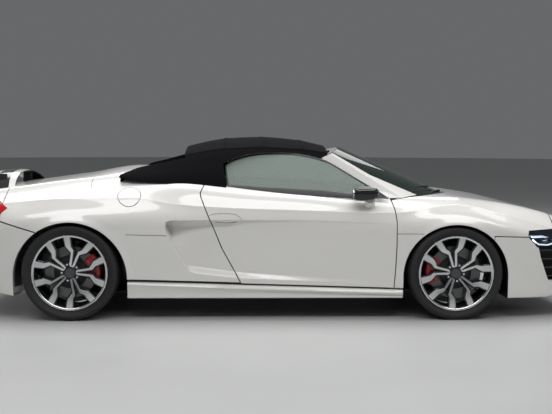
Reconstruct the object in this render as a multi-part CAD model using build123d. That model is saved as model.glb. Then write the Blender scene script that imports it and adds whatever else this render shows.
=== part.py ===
from build123d import *
import os
from math import cos, pi, radians, sin, tan

# Roadster convertible, millimetres.
# +X points forwards, +Y to the car's left, +Z up. The origin lies on the ground,
# midway between the bumpers.

os.makedirs("parts", exist_ok=True)

# ---------------------------------------------------------------- driving sizes
overall_half_length = 2217
wheelbase = 2650
front_axle_x = 1258
rear_axle_x = front_axle_x - wheelbase
shut_gap = 7
running_fit = 0.05
soft_clearance = 0.5

# wheels: tyre radius and width, track, arch opening
front_tyre_radius = 323.5
front_tyre_width = 235
front_track = 1638
rear_tyre_radius = 330
rear_tyre_width = 295
rear_track = 1595
rim_flange_radius = 259
bead_radius = 241
tyre_wall = 14
front_arch_radius = 363
front_arch_z = 298
rear_arch_radius = 390
rear_arch_z = 288
front_well_inner_y = 534
front_well_deep_radius = 382
arch_lip_inner_y = 885
rear_well_inner_y = 600

# cabin
door_inner_y = 760
cabin_floor_z = 175
floor_thickness = 30
firewall_x = 860
bulkhead_x = -560
bulkhead_thickness = 40
firewall_thickness = 30
firewall_half_width = 750
firewall_top_z = 770

# tow sockets and plate screws in the bumper ends
tow_radius = 9
tow_y = 300
tow_z = 330
rear_tow_z = 500
plate_screw_radius = 3.5
plate_screw_pitch = 260
plate_screw_z = 330
rear_plate_screw_z = 500

# hinge lines
door_hinge_x = 771
door_hinge_y = 889
door_pin_radius = 5
bonnet_hinge_x = 1138
bonnet_hinge_z = 815
lid_hinge_x = -1655
lid_hinge_z = 884

# ---------------------------------------------------------------- small helpers


def box(x0, x1, y0, y1, z0, z1):
    """Block between two corners."""
    return Pos((x0 + x1) / 2, (y0 + y1) / 2, (z0 + z1) / 2) * Box(x1 - x0, y1 - y0, z1 - z0)


def side_prism(points, y0, y1, grow=0):
    """Prism of an (x, z) outline between two planes of constant y."""
    face = Polygon(*points, align=None)
    if grow:
        face = offset(face, amount=grow, kind=Kind.INTERSECTION)
    return extrude(Plane.XZ.offset(-y1) * face, amount=y1 - y0, dir=(0, -1, 0))


def plan_prism(points, z0, z1, grow=0):
    """Prism of an (x, y) outline between two heights."""
    face = Polygon(*points, align=None)
    if grow:
        face = offset(face, amount=grow, kind=Kind.INTERSECTION)
    return extrude(Plane.XY.offset(z0) * face, amount=z1 - z0, dir=(0, 0, 1))


def front_prism(points, x0, x1):
    """Prism of a (y, z) outline between two stations."""
    return extrude(Plane.YZ.offset(x0) * Polygon(*points, align=None), amount=x1 - x0, dir=(1, 0, 0))


def both_sides(points):
    """Half outline in plan, mirrored about the centre line into a closed one."""
    return points + [(x, -y) for x, y in reversed(points) if y]


def cross_rod(x, z, radius, y0, y1):
    """Round bar along Y."""
    return Pos(x, (y0 + y1) / 2, z) * Rot(90, 0, 0) * Cylinder(radius, y1 - y0)


def mirrored(shape):
    """The same piece on the other side of the car."""
    return mirror(shape, about=Plane.XZ)


def save(name, shape):
    """Write one named piece."""
    solids = shape.solids() if not isinstance(shape, (list, tuple)) else shape
    solids = [s for item in solids for s in item.solids()]
    whole = solids[0] if len(solids) == 1 else Compound(children=list(solids))
    export_step(whole, os.path.join("parts", name + ".step"))


# ---------------------------------------------------------------- body master
# One row per station, half-section from the underside up to the crown:
# x, underside half width and height, rocker y z, waist y z, shoulder crest y z,
# deck edge y z, crown height.
stations = [
    (-overall_half_length, 430, 330, 500, 345, 600, 560, 590, 720, 520, 800, 815),
    (-2050, 640, 215, 760, 240, 835, 600, 800, 770, 600, 868, 880),
    (-1750, 700, 150, 900, 165, 942, 640, 850, 812, 620, 912, 925),
    (rear_axle_x, 700, 130, 915, 150, 952, 640, 870, 835, 620, 958, 975),
    (-1000, 700, 130, 905, 150, 940, 640, 870, 835, 650, 985, 1035),
    (-480, 700, 130, 895, 150, 912, 620, 880, 780, 790, 915, 1000),
    (200, 700, 130, 890, 150, 897, 600, 872, 755, 790, 856, 900),
    (834, 700, 130, 893, 150, 905, 600, 875, 740, 770, 826, 880),
    (front_axle_x, 640, 140, 905, 150, 940, 640, 860, 795, 660, 835, 845),
    (1600, 640, 140, 900, 150, 928, 600, 850, 725, 640, 797, 800),
    (1900, 640, 130, 850, 150, 885, 520, 820, 640, 620, 733, 735),
    (2120, 600, 130, 690, 150, 735, 480, 700, 590, 560, 655, 665),
    (overall_half_length, 380, 170, 440, 190, 500, 430, 480, 520, 400, 585, 600),
]


def body_wire(x, floor_y, floor_z, rocker_y, rocker_z, waist_y, waist_z,
              crest_y, crest_z, edge_y, edge_z, crown_z):
    """Closed cross-section: straight sides, rounded shoulders, crowned top."""

    def at(side, y, z):
        return Vector(x, side * y, z)

    right, left = -1, 1
    return Wire([
        Edge.make_line(at(right, floor_y, floor_z), at(left, floor_y, floor_z)),
        Edge.make_line(at(left, floor_y, floor_z), at(left, rocker_y, rocker_z)),
        Edge.make_line(at(left, rocker_y, rocker_z), at(left, waist_y, waist_z)),
        Edge.make_three_point_arc(at(left, waist_y, waist_z), at(left, crest_y, crest_z),
                                  at(left, edge_y, edge_z)),
        Edge.make_three_point_arc(at(left, edge_y, edge_z), at(0, 0, crown_z),
                                  at(right, edge_y, edge_z)),
        Edge.make_three_point_arc(at(right, edge_y, edge_z), at(right, crest_y, crest_z),
                                  at(right, waist_y, waist_z)),
        Edge.make_line(at(right, waist_y, waist_z), at(right, rocker_y, rocker_z)),
        Edge.make_line(at(right, rocker_y, rocker_z), at(right, floor_y, floor_z)),
    ])


body = Solid.make_loft([body_wire(*row) for row in stations])
half_width_limit = 1200

# wheel wells: round above the arch centre, straight down below it


def wheel_well(x, z, radius, inner_y):
    return cross_rod(x, z, radius, inner_y, half_width_limit) + box(
        x - radius, x + radius, inner_y, half_width_limit, 0, z)


front_well = wheel_well(front_axle_x, front_arch_z, front_arch_radius, front_well_inner_y)
rear_well = wheel_well(rear_axle_x, rear_arch_z, rear_arch_radius, rear_well_inner_y)

# ---------------------------------------------------------------- panel outlines
door_outline = [
    (-462, 1000), (-478, 930), (-505, 870), (-497, 836), (-450, 721), (-354, 489), (-222, 250),
    (832, 218), (843, 361), (849, 507), (849, 682), (838, 760), (815, 835), (806, 1000),
]
sill_top = [(-1010, 278), (-222, 250), (832, 218), (905, 215)]
rear_bumper_cut = [(-1861, 684), (-1616, 612)]
front_bumper_cut = [(1520, 584), (1757, 575)]

# bonnet and deck lid, half outlines in plan
bonnet_half = [(1100, 0), (1100, 545), (1230, 545), (1390, 630), (1600, 645),
               (1850, 605), (2020, 480), (2085, 300), (2110, 0)]
lid_half = [(-640, 0), (-640, 440), (-700, 545), (-1100, 600), (-1450, 615),
            (lid_hinge_x - 10, 600), (lid_hinge_x - 10, 0)]

# the scuttle is round in plan: bonnet and wings stop at this drum
scuttle_front_x = 1320
scuttle_radius = 863
scuttle = Pos(scuttle_front_x - scuttle_radius, 0, 800) * Cylinder(scuttle_radius, 1000)
scuttle_gap = 9
scuttle_hole = Pos(scuttle_front_x - scuttle_radius, 0, 800) * Cylinder(scuttle_radius + scuttle_gap, 1000)

# side scoop: a wedge let into the flank, deepest at its rear end
scoop_outline = [(-742, 640), (-735, 676), (-700, 690), (300, 688), (430, 560), (420, 300), (127, 268),
                 (-246, 287), (-439, 306), (-535, 321), (-578, 340), (-635, 413), (-702, 544)]
scoop_depth = 85
scoop_front_x = 430
scoop_rear_x = -742
flank_y = 905
scoop = side_prism(scoop_outline, -half_width_limit, half_width_limit) & plan_prism(
    [(scoop_front_x, flank_y + 8), (scoop_rear_x, flank_y - scoop_depth + 10),
     (scoop_rear_x, half_width_limit), (scoop_front_x, half_width_limit)], 0, 1000)

# ---------------------------------------------------------------- side panels
left_half = box(-2400, 2400, 0, half_width_limit, 0, 1400)
scooped_body = body - scoop - mirrored(scoop)


def left_panel(outline, inner_y, grow):
    return scooped_body & side_prism(outline, inner_y, half_width_limit, grow)


door_left = left_panel(door_outline, door_inner_y, -shut_gap / 2)
door_hole = side_prism(door_outline, 0, half_width_limit, shut_gap / 2)

quarter_outline = [
    (-218, 1200), (-218, 259), (-1010, 284), (-1010, 120), (-1616 + 3, 120), (-1616 + 3, 612), (-1861, 687),
    (-1816, 1200),
]
lid_hole = plan_prism(both_sides(lid_half), 600, 1300, shut_gap / 2)
quarter_inner_y = rear_well_inner_y + 10
quarter_left = left_panel(quarter_outline, quarter_inner_y, 0) - door_hole - rear_well - lid_hole
quarter_left = quarter_left & (body & box(-1900, -218, 0, half_width_limit, 0, 1200))

fender_outline = [
    (780, 1000), (780, 222), (905, 219), (1515, 219), (1515, 584), (1751, 576), (1764, 614), (1960, 645), (1960, 1000),
]
bonnet_hole = plan_prism(both_sides(bonnet_half), 400, 1200, shut_gap / 2)
fender_left = left_panel(fender_outline, 560, 0) - door_hole - front_well - bonnet_hole
fender_left = fender_left - cross_rod(front_axle_x, front_arch_z, front_well_deep_radius, front_well_inner_y,
                                      arch_lip_inner_y)
fender_left = fender_left - box(700, 900, 0, firewall_half_width, 0, 1200) - (scuttle_hole & box(700, 1400, 0, firewall_half_width, 0, 1200))
headlamp_outline = [(1764, 614), (1960, 645), (2060, 628), (2060, 560), (1960, 506), (1834, 506), (1783, 565)]
fender_left = fender_left - side_prism(headlamp_outline, 500, half_width_limit, shut_gap / 2)

# ---------------------------------------------------------------- bonnet and lid
panel_thickness = 24
lower_body = Pos(0, 0, -panel_thickness) * body
bonnet = (body & plan_prism(both_sides(bonnet_half), 400, 1200)) - lower_body - scuttle_hole
deck_lid = (body & plan_prism(both_sides(lid_half), 600, 1300)) - lower_body

# ---------------------------------------------------------------- bumpers
front_bumper_outline = [(1520, 120), (1520, 577), (1757, 569), (1823, 498), (1967, 498), (1967, 800),
                        (2400, 800), (2400, 100), (1520, 100)]
bumper_wall = 45
inner_stations = [(row[0] * 0.98,) + tuple(
    size - bumper_wall if column not in (2, 4, 6) else size + bumper_wall * (column != 6)
    for column, size in enumerate(row[1:], 1)) for row in stations]
inner_body = Solid.make_loft([body_wire(*row) for row in inner_stations])
front_bumper = body & side_prism(front_bumper_outline, -half_width_limit, half_width_limit)
front_bumper = front_bumper - inner_body - bonnet_hole - front_well - mirrored(front_well)
intake = side_prism([(1838, 270), (1916, 270), (2400, 262), (2400, 470), (1850, 455)], 520, half_width_limit)
intake_deep = intake & plan_prism([(1800, 1200), (1800, 790), (2030, 640), (2130, 520), (2400, 520), (2400, 1200)],
                                  0, 1000)
front_bumper = front_bumper - intake_deep - mirrored(intake_deep)

for radius, y, z in ((tow_radius, -tow_y, tow_z), (plate_screw_radius, plate_screw_pitch / 2, plate_screw_z),
                     (plate_screw_radius, -plate_screw_pitch / 2, plate_screw_z)):
    front_bumper = front_bumper - Pos(overall_half_length, y, z) * Rot(0, 90, 0) * Cylinder(radius, 200)

lamp_floor_z = 700
rear_bumper_outline = [(-1622, 100), (-1622, 606), (-1867, 679), (-1867, lamp_floor_z), (-2400, lamp_floor_z),
                       (-2400, 100)]
rear_bumper = body & side_prism(rear_bumper_outline, -half_width_limit, half_width_limit)
rear_bumper = rear_bumper - inner_body - rear_well - mirrored(rear_well)
grille_band = box(-2400, -1900, -540, 540, 590, lamp_floor_z + 1)
rear_bumper = rear_bumper - grille_band - box(-2400, -2060, -560, 560, 0, 420)
for radius, y, z in ((tow_radius, -tow_y, rear_tow_z), (plate_screw_radius, plate_screw_pitch / 2, rear_plate_screw_z),
                     (plate_screw_radius, -plate_screw_pitch / 2, rear_plate_screw_z)):
    rear_bumper = rear_bumper - Pos(-overall_half_length, y, z) * Rot(0, 90, 0) * Cylinder(radius, 200)

# rear fascia above the bumper: deck rear edge, with places for the lamps and the grille
seat_clearance = 0.3
tail_panel = body & box(-2400, -1500, -half_width_limit, half_width_limit, lamp_floor_z + seat_clearance, 1200)
quarter_hole = side_prism(quarter_outline, rear_well_inner_y + 7, half_width_limit, 3)
tail_panel = tail_panel - inner_body - lid_hole - quarter_hole - mirrored(quarter_hole)
tail_panel = tail_panel - box(-1800, -1200, -half_width_limit, half_width_limit, 0, 890)
tail_panel = tail_panel - box(-1700, -1200, -half_width_limit, half_width_limit, 0, 1200)
lamp_outline = [(-2400, lamp_floor_z + seat_clearance), (-1893, lamp_floor_z + seat_clearance), (-1817, 771),
                (-1893, 822), (-2400, 822)]
lamp_region = side_prism(lamp_outline, 500, half_width_limit)
lamp_hole = side_prism(lamp_outline, 497, half_width_limit, 3)
tail_lamp = (body & lamp_region) - inner_body
tail_lamp = max(tail_lamp.solids(), key=lambda s: s.volume)
quarter_left = quarter_left - lamp_hole

# ---------------------------------------------------------------- sills
tub_half_width = door_inner_y - 32
sill_profile = [(tub_half_width, 150), (895, 150), (912, 175), (912, 215), (896, 240), (880, 262), (780, 262), (780, 200),
                (tub_half_width, 200)]
sill_left = front_prism(sill_profile, -1000, 893)
sill_left = sill_left - side_prism([(-1100, 400), (-1100, 271), (-222, 243), (832, 211), (1000, 208), (1000, 400)],
                                   0, half_width_limit)
sill_left = sill_left - rear_well - front_well - box(firewall_x - 5, 1000, 0, firewall_half_width, 0, 400)
sill_left = sill_left - box(-1100, -215, 0, 780, 0, 400)

# ---------------------------------------------------------------- floor, bulkheads and luggage well
bulkhead_half_width = quarter_inner_y
tub = box(-500, firewall_x, -tub_half_width, tub_half_width, cabin_floor_z - floor_thickness, cabin_floor_z)
tub = tub + box(bulkhead_x, -500, -bulkhead_half_width, bulkhead_half_width,
                cabin_floor_z - floor_thickness, cabin_floor_z)
tub = tub + box(bulkhead_x - bulkhead_thickness, bulkhead_x, -bulkhead_half_width, bulkhead_half_width,
                cabin_floor_z - floor_thickness, 860)
tub = tub + box(firewall_x, firewall_x + firewall_thickness, -firewall_half_width, firewall_half_width,
                cabin_floor_z - floor_thickness, firewall_top_z)
tub = tub + box(bulkhead_x, firewall_x, -110, 110, cabin_floor_z, 400)
for side in (-1, 1):
    inner = side * (tub_half_width - 110)
    outer = side * tub_half_width
    tub = tub + box(-490, firewall_x, min(inner, outer), max(inner, outer), cabin_floor_z, 330)

side_room = box(bulkhead_x - 100, -215, bulkhead_half_width, 900, 0, 1000)
tub = tub - side_room - mirrored(side_room)

rail_inner_y = 365
rail_outer_y = 415
luggage_wall = 25
luggage_tub = box(960, 1700, -rail_inner_y, rail_inner_y, 260, 700) - box(
    960 + luggage_wall, 1700 - luggage_wall, -rail_inner_y + luggage_wall, rail_inner_y - luggage_wall,
    260 + luggage_wall, 900)

# ---------------------------------------------------------------- windscreen and its frame
glass_thickness = 6
screen_base = (1255, 850, 905, 700, 822)
screen_top = (515, 1178, 400, 545, 1130)


def crescent(centre_x, centre_z, side_x, side_y, side_z, spread, front, back):
    """Curved strip between two like arcs, one behind the other in their own plane."""
    slope = (centre_z - side_z) / (centre_x - side_x)

    def arc_points(shift):
        return [Vector(side_x + shift, -side_y - spread, side_z + slope * shift),
                Vector(centre_x + shift, 0, centre_z + slope * shift),
                Vector(side_x + shift, side_y + spread, side_z + slope * shift)]

    ahead = arc_points(front)
    behind = arc_points(back)
    return Wire([
        Edge.make_three_point_arc(*ahead),
        Edge.make_line(ahead[2], behind[2]),
        Edge.make_three_point_arc(*reversed(behind)),
        Edge.make_line(behind[0], ahead[0]),
    ])


def screen_solid(spread, front, back):
    return Solid.make_loft([crescent(*screen_base, spread, front, back),
                            crescent(*screen_top, spread, front, back)], True)


pillar_width = 42
pillar_foot = box(firewall_x + 2, firewall_x + firewall_thickness - 2, 700, 738, firewall_top_z, 835)
windscreen = screen_solid(0, 0, -2.4 * glass_thickness)
frame_block = screen_solid(pillar_width, 12, -70)
frame_window = screen_solid(-3, 40, -120)
header_cut = box(300, 1400, -500, 500, 600, 1110)
windscreen_frame = frame_block - screen_solid(0.3, 40, -2.4 * glass_thickness - 1)
windscreen_frame = windscreen_frame - (screen_solid(-26, 40, -120) & box(200, 1400, -900, 900, 600, 1098))

windscreen_frame = windscreen_frame - Pos(0, 0, seat_clearance) * body
windscreen_frame = max(windscreen_frame.solids(), key=lambda s: s.volume)
windscreen_frame = windscreen_frame + pillar_foot + mirrored(pillar_foot)
cowl_drop = 30
cowl_thickness = 30
cowl_half_width = 480
cowl = scuttle & box(1000, 1400, -cowl_half_width, cowl_half_width, 600, 1000)
cowl = (Pos(0, 0, -cowl_drop) * body & cowl) - Pos(0, 0, -cowl_drop - cowl_thickness) * body
cowl_post = box(1000, 1060, -rail_inner_y, rail_inner_y, 690, 1000)
luggage_tub = luggage_tub + (cowl_post & Pos(0, 0, -cowl_drop - cowl_thickness - seat_clearance) * body)

# ---------------------------------------------------------------- folding top
top_stations = [
    (398, 752, 840, 552, 1142, 1186),
    (200, 790, 852, 562, 1166, 1228),
    (-100, 800, 872, 576, 1180, 1251),
    (-330, 800, 895, 590, 1170, 1240),
    (-600, 800, 922, 590, 1130, 1190),
    (-860, 796, 942, 600, 1062, 1090),
    (-1075, 770, 955, 690, 990, 1010),
]
fabric_thickness = 16


def top_wire(x, belt_y, belt_z, rail_y, rail_z, crown_z, inset=0, drop=0):
    """Cross-section of the closed top: sloping sides and one crown arc."""
    half = belt_y - inset
    rail = rail_y - inset * 0.8
    rise = rail_z - inset * 0.8
    base = belt_z - drop
    return Wire([
        Edge.make_line((x, -half, base), (x, half, base)),
        Edge.make_line((x, half, base), (x, rail, rise)),
        Edge.make_three_point_arc((x, rail, rise), (x, 0, crown_z - inset), (x, -rail, rise)),
        Edge.make_line((x, -rail, rise), (x, -half, base)),
    ])


top_outer = Solid.make_loft([top_wire(*row, 0, 60) for row in top_stations])
top_inner = Solid.make_loft([top_wire(*row, fabric_thickness, 90) for row in top_stations])
window_cut = [(420, 700), (420, 1090), (370, 1099), (281, 1120), (174, 1140), (56, 1146), (-92, 1142), (-181, 1131),
              (-270, 1107), (-350, 1068), (-326, 924), (-326, 700)]
rear_glass_x = -612
fin_inner_y = 600
soft_top = top_outer - (top_inner & box(-590, 600, -900, 900, 700, 1400))
soft_top = soft_top - (top_inner & box(-1100, -630, fin_inner_y + 20, 900, 700, 1400))
soft_top = soft_top - (top_inner & box(-1100, -630, -900, -fin_inner_y - 20, 700, 1400))
soft_top = soft_top - side_prism(window_cut, -900, 900)
soft_top = soft_top - box(-1200, -630, -fin_inner_y, fin_inner_y, 700, 1400)
soft_top = soft_top - Pos(0, 0, soft_clearance) * body
soft_top = soft_top - box(-700, -500, -430, 430, 1045, 1160) - box(-1200, -630, -900, 900, 700, 900)
for dx, dz in ((soft_clearance, 0), (-soft_clearance, 0), (0, soft_clearance), (0, -soft_clearance)):
    soft_top = soft_top - Pos(dx, 0, dz) * frame_block
soft_top = soft_top - box(388, 600, -900, 900, 700, 1400)
soft_top = max(soft_top.solids(), key=lambda s: s.volume)
rear_window = box(rear_glass_x - 3, rear_glass_x + 3, -429.5, 429.5, 1045.5, 1159.5)

# ---------------------------------------------------------------- side glass and mirrors
side_glass_outline = [(545, 850), (770, 850), (640, 930), (505, 1014), (385, 1084), (281, 1112), (174, 1131), (56, 1137), (-92, 1133), (-181, 1122),
                      (-270, 1098), (-340, 1060), (-318, 880)]
glass_low = (793, 850)
glass_high = (560, 1170)
glass_profile = [glass_low, glass_high, (glass_high[0] - 5, glass_high[1]), (glass_low[0] - 5, glass_low[1])]
door_glass_left = side_prism(side_glass_outline, 0, 900) & front_prism(glass_profile, -400, 800)
slot_profile = [(glass_low[0] + 0.3, glass_low[1]), (glass_high[0] + 0.3, glass_high[1]),
                (glass_high[0] - 5.3, glass_high[1]), (glass_low[0] - 5.3, glass_low[1])]
door_left = door_left - (side_prism(side_glass_outline, 0, 900, 0.3) & front_prism(slot_profile, -500, 900))

mirror_left = box(552, 690, 820, 960, 822, 918)
mirror_left = fillet(mirror_left.edges(), 22)
mirror_foot = side_prism([(600, 800), (690, 800), (670, 840), (610, 840)], 790, 850)
mirror_left = mirror_left + mirror_foot
mirror_left = mirror_left - Pos(0, 0, 0.3) * body

# ---------------------------------------------------------------- rear details
fuel_flap = Pos(-990, 840, 837) * Rot(-35, 0, 0) * Cylinder(77, 60)
fuel_cap = fuel_flap & (Pos(0, 0, 1.5) * body)
fuel_cap = fuel_cap - Pos(0, 0, -15.7) * body
flap_hole = Pos(-990, 840, 837) * Rot(-35, 0, 0) * Cylinder(77 + 2.5, 60) - Pos(0, 0, -16) * body
quarter_left = quarter_left - flap_hole

spoiler_half = [(-1985, 0), (-1985, 430), (-1960, 560), (-1850, 640), (-1790, 640), (-1780, 560), (-1760, 0)]
blade = side_prism([(-1990, 985), (-1880, 1004), (-1760, 992), (-1750, 978), (-1880, 986), (-1990, 968)], -640, 640)
blade = blade & plan_prism(both_sides(spoiler_half), 800, 1200)
for side in (-1, 1):
    blade = blade + box(-1880, -1800, side * 420 - 10, side * 420 + 10, 870, 990)
blade_end = front_prism([(600, 984), (640, 974), (700, 905), (712, 885), (724, 888), (712, 914), (655, 992),
                         (600, 1003)], -1990, -1880)
rear_spoiler = blade + blade_end + mirrored(blade_end) - Pos(0, 0, seat_clearance) * body

rear_grille = box(-2190, -2174, -500, 500, 590, 698)
for row in range(4):
    z = 600 + 24 * row
    rear_grille = rear_grille + box(-2208, -2180, -500, 500, z, z + 10)
diffuser_half_width = 556
diffuser = side_prism([(-2195, 300), (-2180, 420), (-2062, 420), (-2062, 200), (-2075, 190)], -diffuser_half_width,
                      diffuser_half_width)

# ---------------------------------------------------------------- drivetrain
engine_block = box(-1360, -660, -330, 330, 260, 800)
exhaust = box(-2000, -1480, -300, 300, 330, 480)
for side in (-1, 1):
    exhaust = exhaust + Pos(-1420, side * 200, 400) * Rot(0, 90, 0) * Cylinder(35, 120)
for side in (-1, 1):
    exhaust = exhaust + Pos(-2060, side * 620, 330) * Rot(0, 90, 0) * (Cylinder(48, 260) - Cylinder(43, 300))
    exhaust = exhaust + box(-2020, -1960, min(side * 280, side * 620), max(side * 280, side * 620), 330, 380)

    rear_bumper = rear_bumper - Pos(-2060, side * 620, 330) * Rot(0, 90, 0) * Cylinder(54, 400)

# ---------------------------------------------------------------- running gear
hub_bore_radius = 30


def wheel_pieces(radius, width, disc_radius):
    """Tyre, rim and brake disc about the Y axis, outer face towards +Y."""
    half = width / 2
    bead = 0.40 * width
    bead_top = rim_flange_radius + 4
    outer = [(-bead, bead_radius + 0.3), (-bead, bead_top), (-half, 0.9 * radius), (-0.45 * width, 0.975 * radius),
             (-0.30 * width, radius), (0.30 * width, radius), (0.45 * width, 0.975 * radius),
             (half, 0.9 * radius), (bead, bead_top), (bead, bead_radius + 0.3)]
    inner = [(bead - tyre_wall, bead_radius + 0.3), (half - tyre_wall, 0.9 * radius),
             (0.40 * width, 0.975 * radius - tyre_wall), (-0.40 * width, 0.975 * radius - tyre_wall),
             (-half + tyre_wall, 0.9 * radius), (-bead + tyre_wall, bead_radius + 0.3)]
    section = Plane.YZ * Polygon(*(outer + inner), align=None)
    tyre = revolve(section, Axis.Y, 360)
    lip = bead + 11
    rim_profile = [(-lip, rim_flange_radius), (-bead - 1, rim_flange_radius), (-bead - 1, bead_radius),
                   (bead + 1, bead_radius), (bead + 1, rim_flange_radius), (lip, rim_flange_radius),
                   (lip, rim_flange_radius - 12), (lip - 16, bead_radius - 10), (-lip + 4, bead_radius - 10),
                   (-lip, rim_flange_radius - 12)]
    rim = revolve(Plane.YZ * Polygon(*rim_profile, align=None), Axis.Y, 360)
    return tyre, rim, lip


def spokes(lip, first_angle):
    """Five pairs of arms and the hub, front face towards +Y."""
    face = lip - 18
    depth = 42
    hub = Pos(0, face - depth / 2 - 6, 0) * Rot(90, 0, 0) * (Cylinder(76, depth) - Cylinder(hub_bore_radius, 80))
    arm = [(46, 3), (156, 17), (176, 40), (244, 68), (236, 114), (164, 75), (134, 30), (46, 19)]
    result = None
    for pair in range(5):
        for side in (-1, 1):
            outline = Polygon(*[(u, side * v) for u, v in arm], align=None)
            solid = extrude(Plane.XZ.offset(-face) * outline, amount=depth * 0.8, dir=(0, -1, 0))
            turned = Rot(0, -(first_angle + 72 * pair), 0) * solid
            result = turned if result is None else result + turned
    reach = Pos(0, face, 0) * Rot(90, 0, 0) * Cylinder(bead_radius - 4, 200)
    return (result & reach) + hub


def brake_disc(radius, face_y):
    disc = Pos(0, face_y, 0) * Rot(90, 0, 0) * (Cylinder(radius, 32) - Cylinder(hub_bore_radius, 60))
    return disc


wheels = [
    # name, x, z, half track, radius, width, disc radius, first spoke angle
    ("front", front_axle_x, front_tyre_radius, front_track / 2, front_tyre_radius, front_tyre_width, 182, 28.3),
    ("rear", rear_axle_x, rear_tyre_radius, rear_track / 2, rear_tyre_radius, rear_tyre_width, 178, 1.5),
]

kingpin_offset = 60
kingpin_radius = 10
low_pin_z = 178
high_pin_z = 478
arm_height = 24
arm_eye_y = {}
for name, x, z, half_track, radius, width, disc_radius, first_angle in wheels:
    tyre, rim, lip = wheel_pieces(radius, width, disc_radius)
    rim = rim + spokes(lip, first_angle)
    hub_back = lip - 18 - 6 - 42
    disc = brake_disc(disc_radius, hub_back - 16 - 0.3)
    place = Pos(x, half_track, z)
    for label, piece in (("tyre", tyre), ("rim", rim), ("brake_disc", disc)):
        left = place * piece
        save(f"{label}_{name}_left", left)
        save(f"{label}_{name}_right", mirrored(left))
    # upright with its spindle, caliper hung from it
    back = hub_back - 33
    spindle_length = 33 + 42 + 10
    upright = Pos(0, back - 20, 0) * Rot(90, 0, 0) * Cylinder(60, 34)
    upright = upright + box(-25, 25, back - 37, back - 3, low_pin_z - z + 28, high_pin_z - z - 4)
    pin_y = back - kingpin_offset
    for end_z, pin_z in ((low_pin_z - z + 28, low_pin_z - z + 12), (high_pin_z - z - 28, high_pin_z - z + 12)):
        upright = upright + box(-18, 18, pin_y - 18, back - 3, end_z, end_z + 24)
        upright = upright + Pos(0, pin_y, pin_z) * Cylinder(kingpin_radius, 60)
    upright = upright + Pos(0, back + spindle_length / 2 - 5, 0) * Rot(90, 0, 0) * Cylinder(
        hub_bore_radius - running_fit, spindle_length + 10)
    caliper_side = -1 if name == "front" else 1
    caliper = Pos(0, hub_back - 29, 0) * Rot(90, 0, 0) * (Cylinder(205, 76) - Cylinder(118, 100))
    caliper_inner = caliper_side * 125
    caliper = caliper & box(min(caliper_inner, caliper_side * 230), max(caliper_inner, caliper_side * 230),
                            -200, 200, -60, 110)
    caliper = caliper - Pos(0, hub_back - 16.3, 0) * Rot(90, 0, 0) * Cylinder(disc_radius + 3, 38)
    arm_low = box(min(0, caliper_inner), max(0, caliper_inner), back - 30, back - 6, -20, 40)
    arm_eye_y[name] = half_track + pin_y
    upright = upright + arm_low
    upright_left = place * upright
    caliper_left = place * caliper
    if name == "front":
        save("knuckle_left", upright_left)
        save("knuckle_right", mirrored(upright_left))
        save("front_caliper_left", caliper_left)
        save("front_caliper_right", mirrored(caliper_left))
    else:
        save("rear_uprights", [upright_left, mirrored(upright_left)])
        save("rear_calipers", [caliper_left, mirrored(caliper_left)])

# subframes: long rails, crossmembers, posts, and the arms that hold the uprights


def side_box(side, x0, x1, y0, y1, z0, z1):
    """Block given for the left side, placed on the side asked for."""
    return box(x0, x1, min(side * y0, side * y1), max(side * y0, side * y1), z0, z1)


def arms(side, x, eye_y):
    """Upper and lower arm, each ending in an eye around the kingpin."""
    pair = None
    for z in (low_pin_z, high_pin_z):
        arm = side_box(side, x - 20, x + 20, rail_outer_y - 5, eye_y, z, z + arm_height)
        arm = arm + Pos(x, side * eye_y, z + arm_height / 2) * Cylinder(24, arm_height)
        arm = arm - Pos(x, side * eye_y, z + arm_height / 2) * Cylinder(kingpin_radius + running_fit, 60)
        pair = arm if pair is None else pair + arm
    return pair


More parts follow.
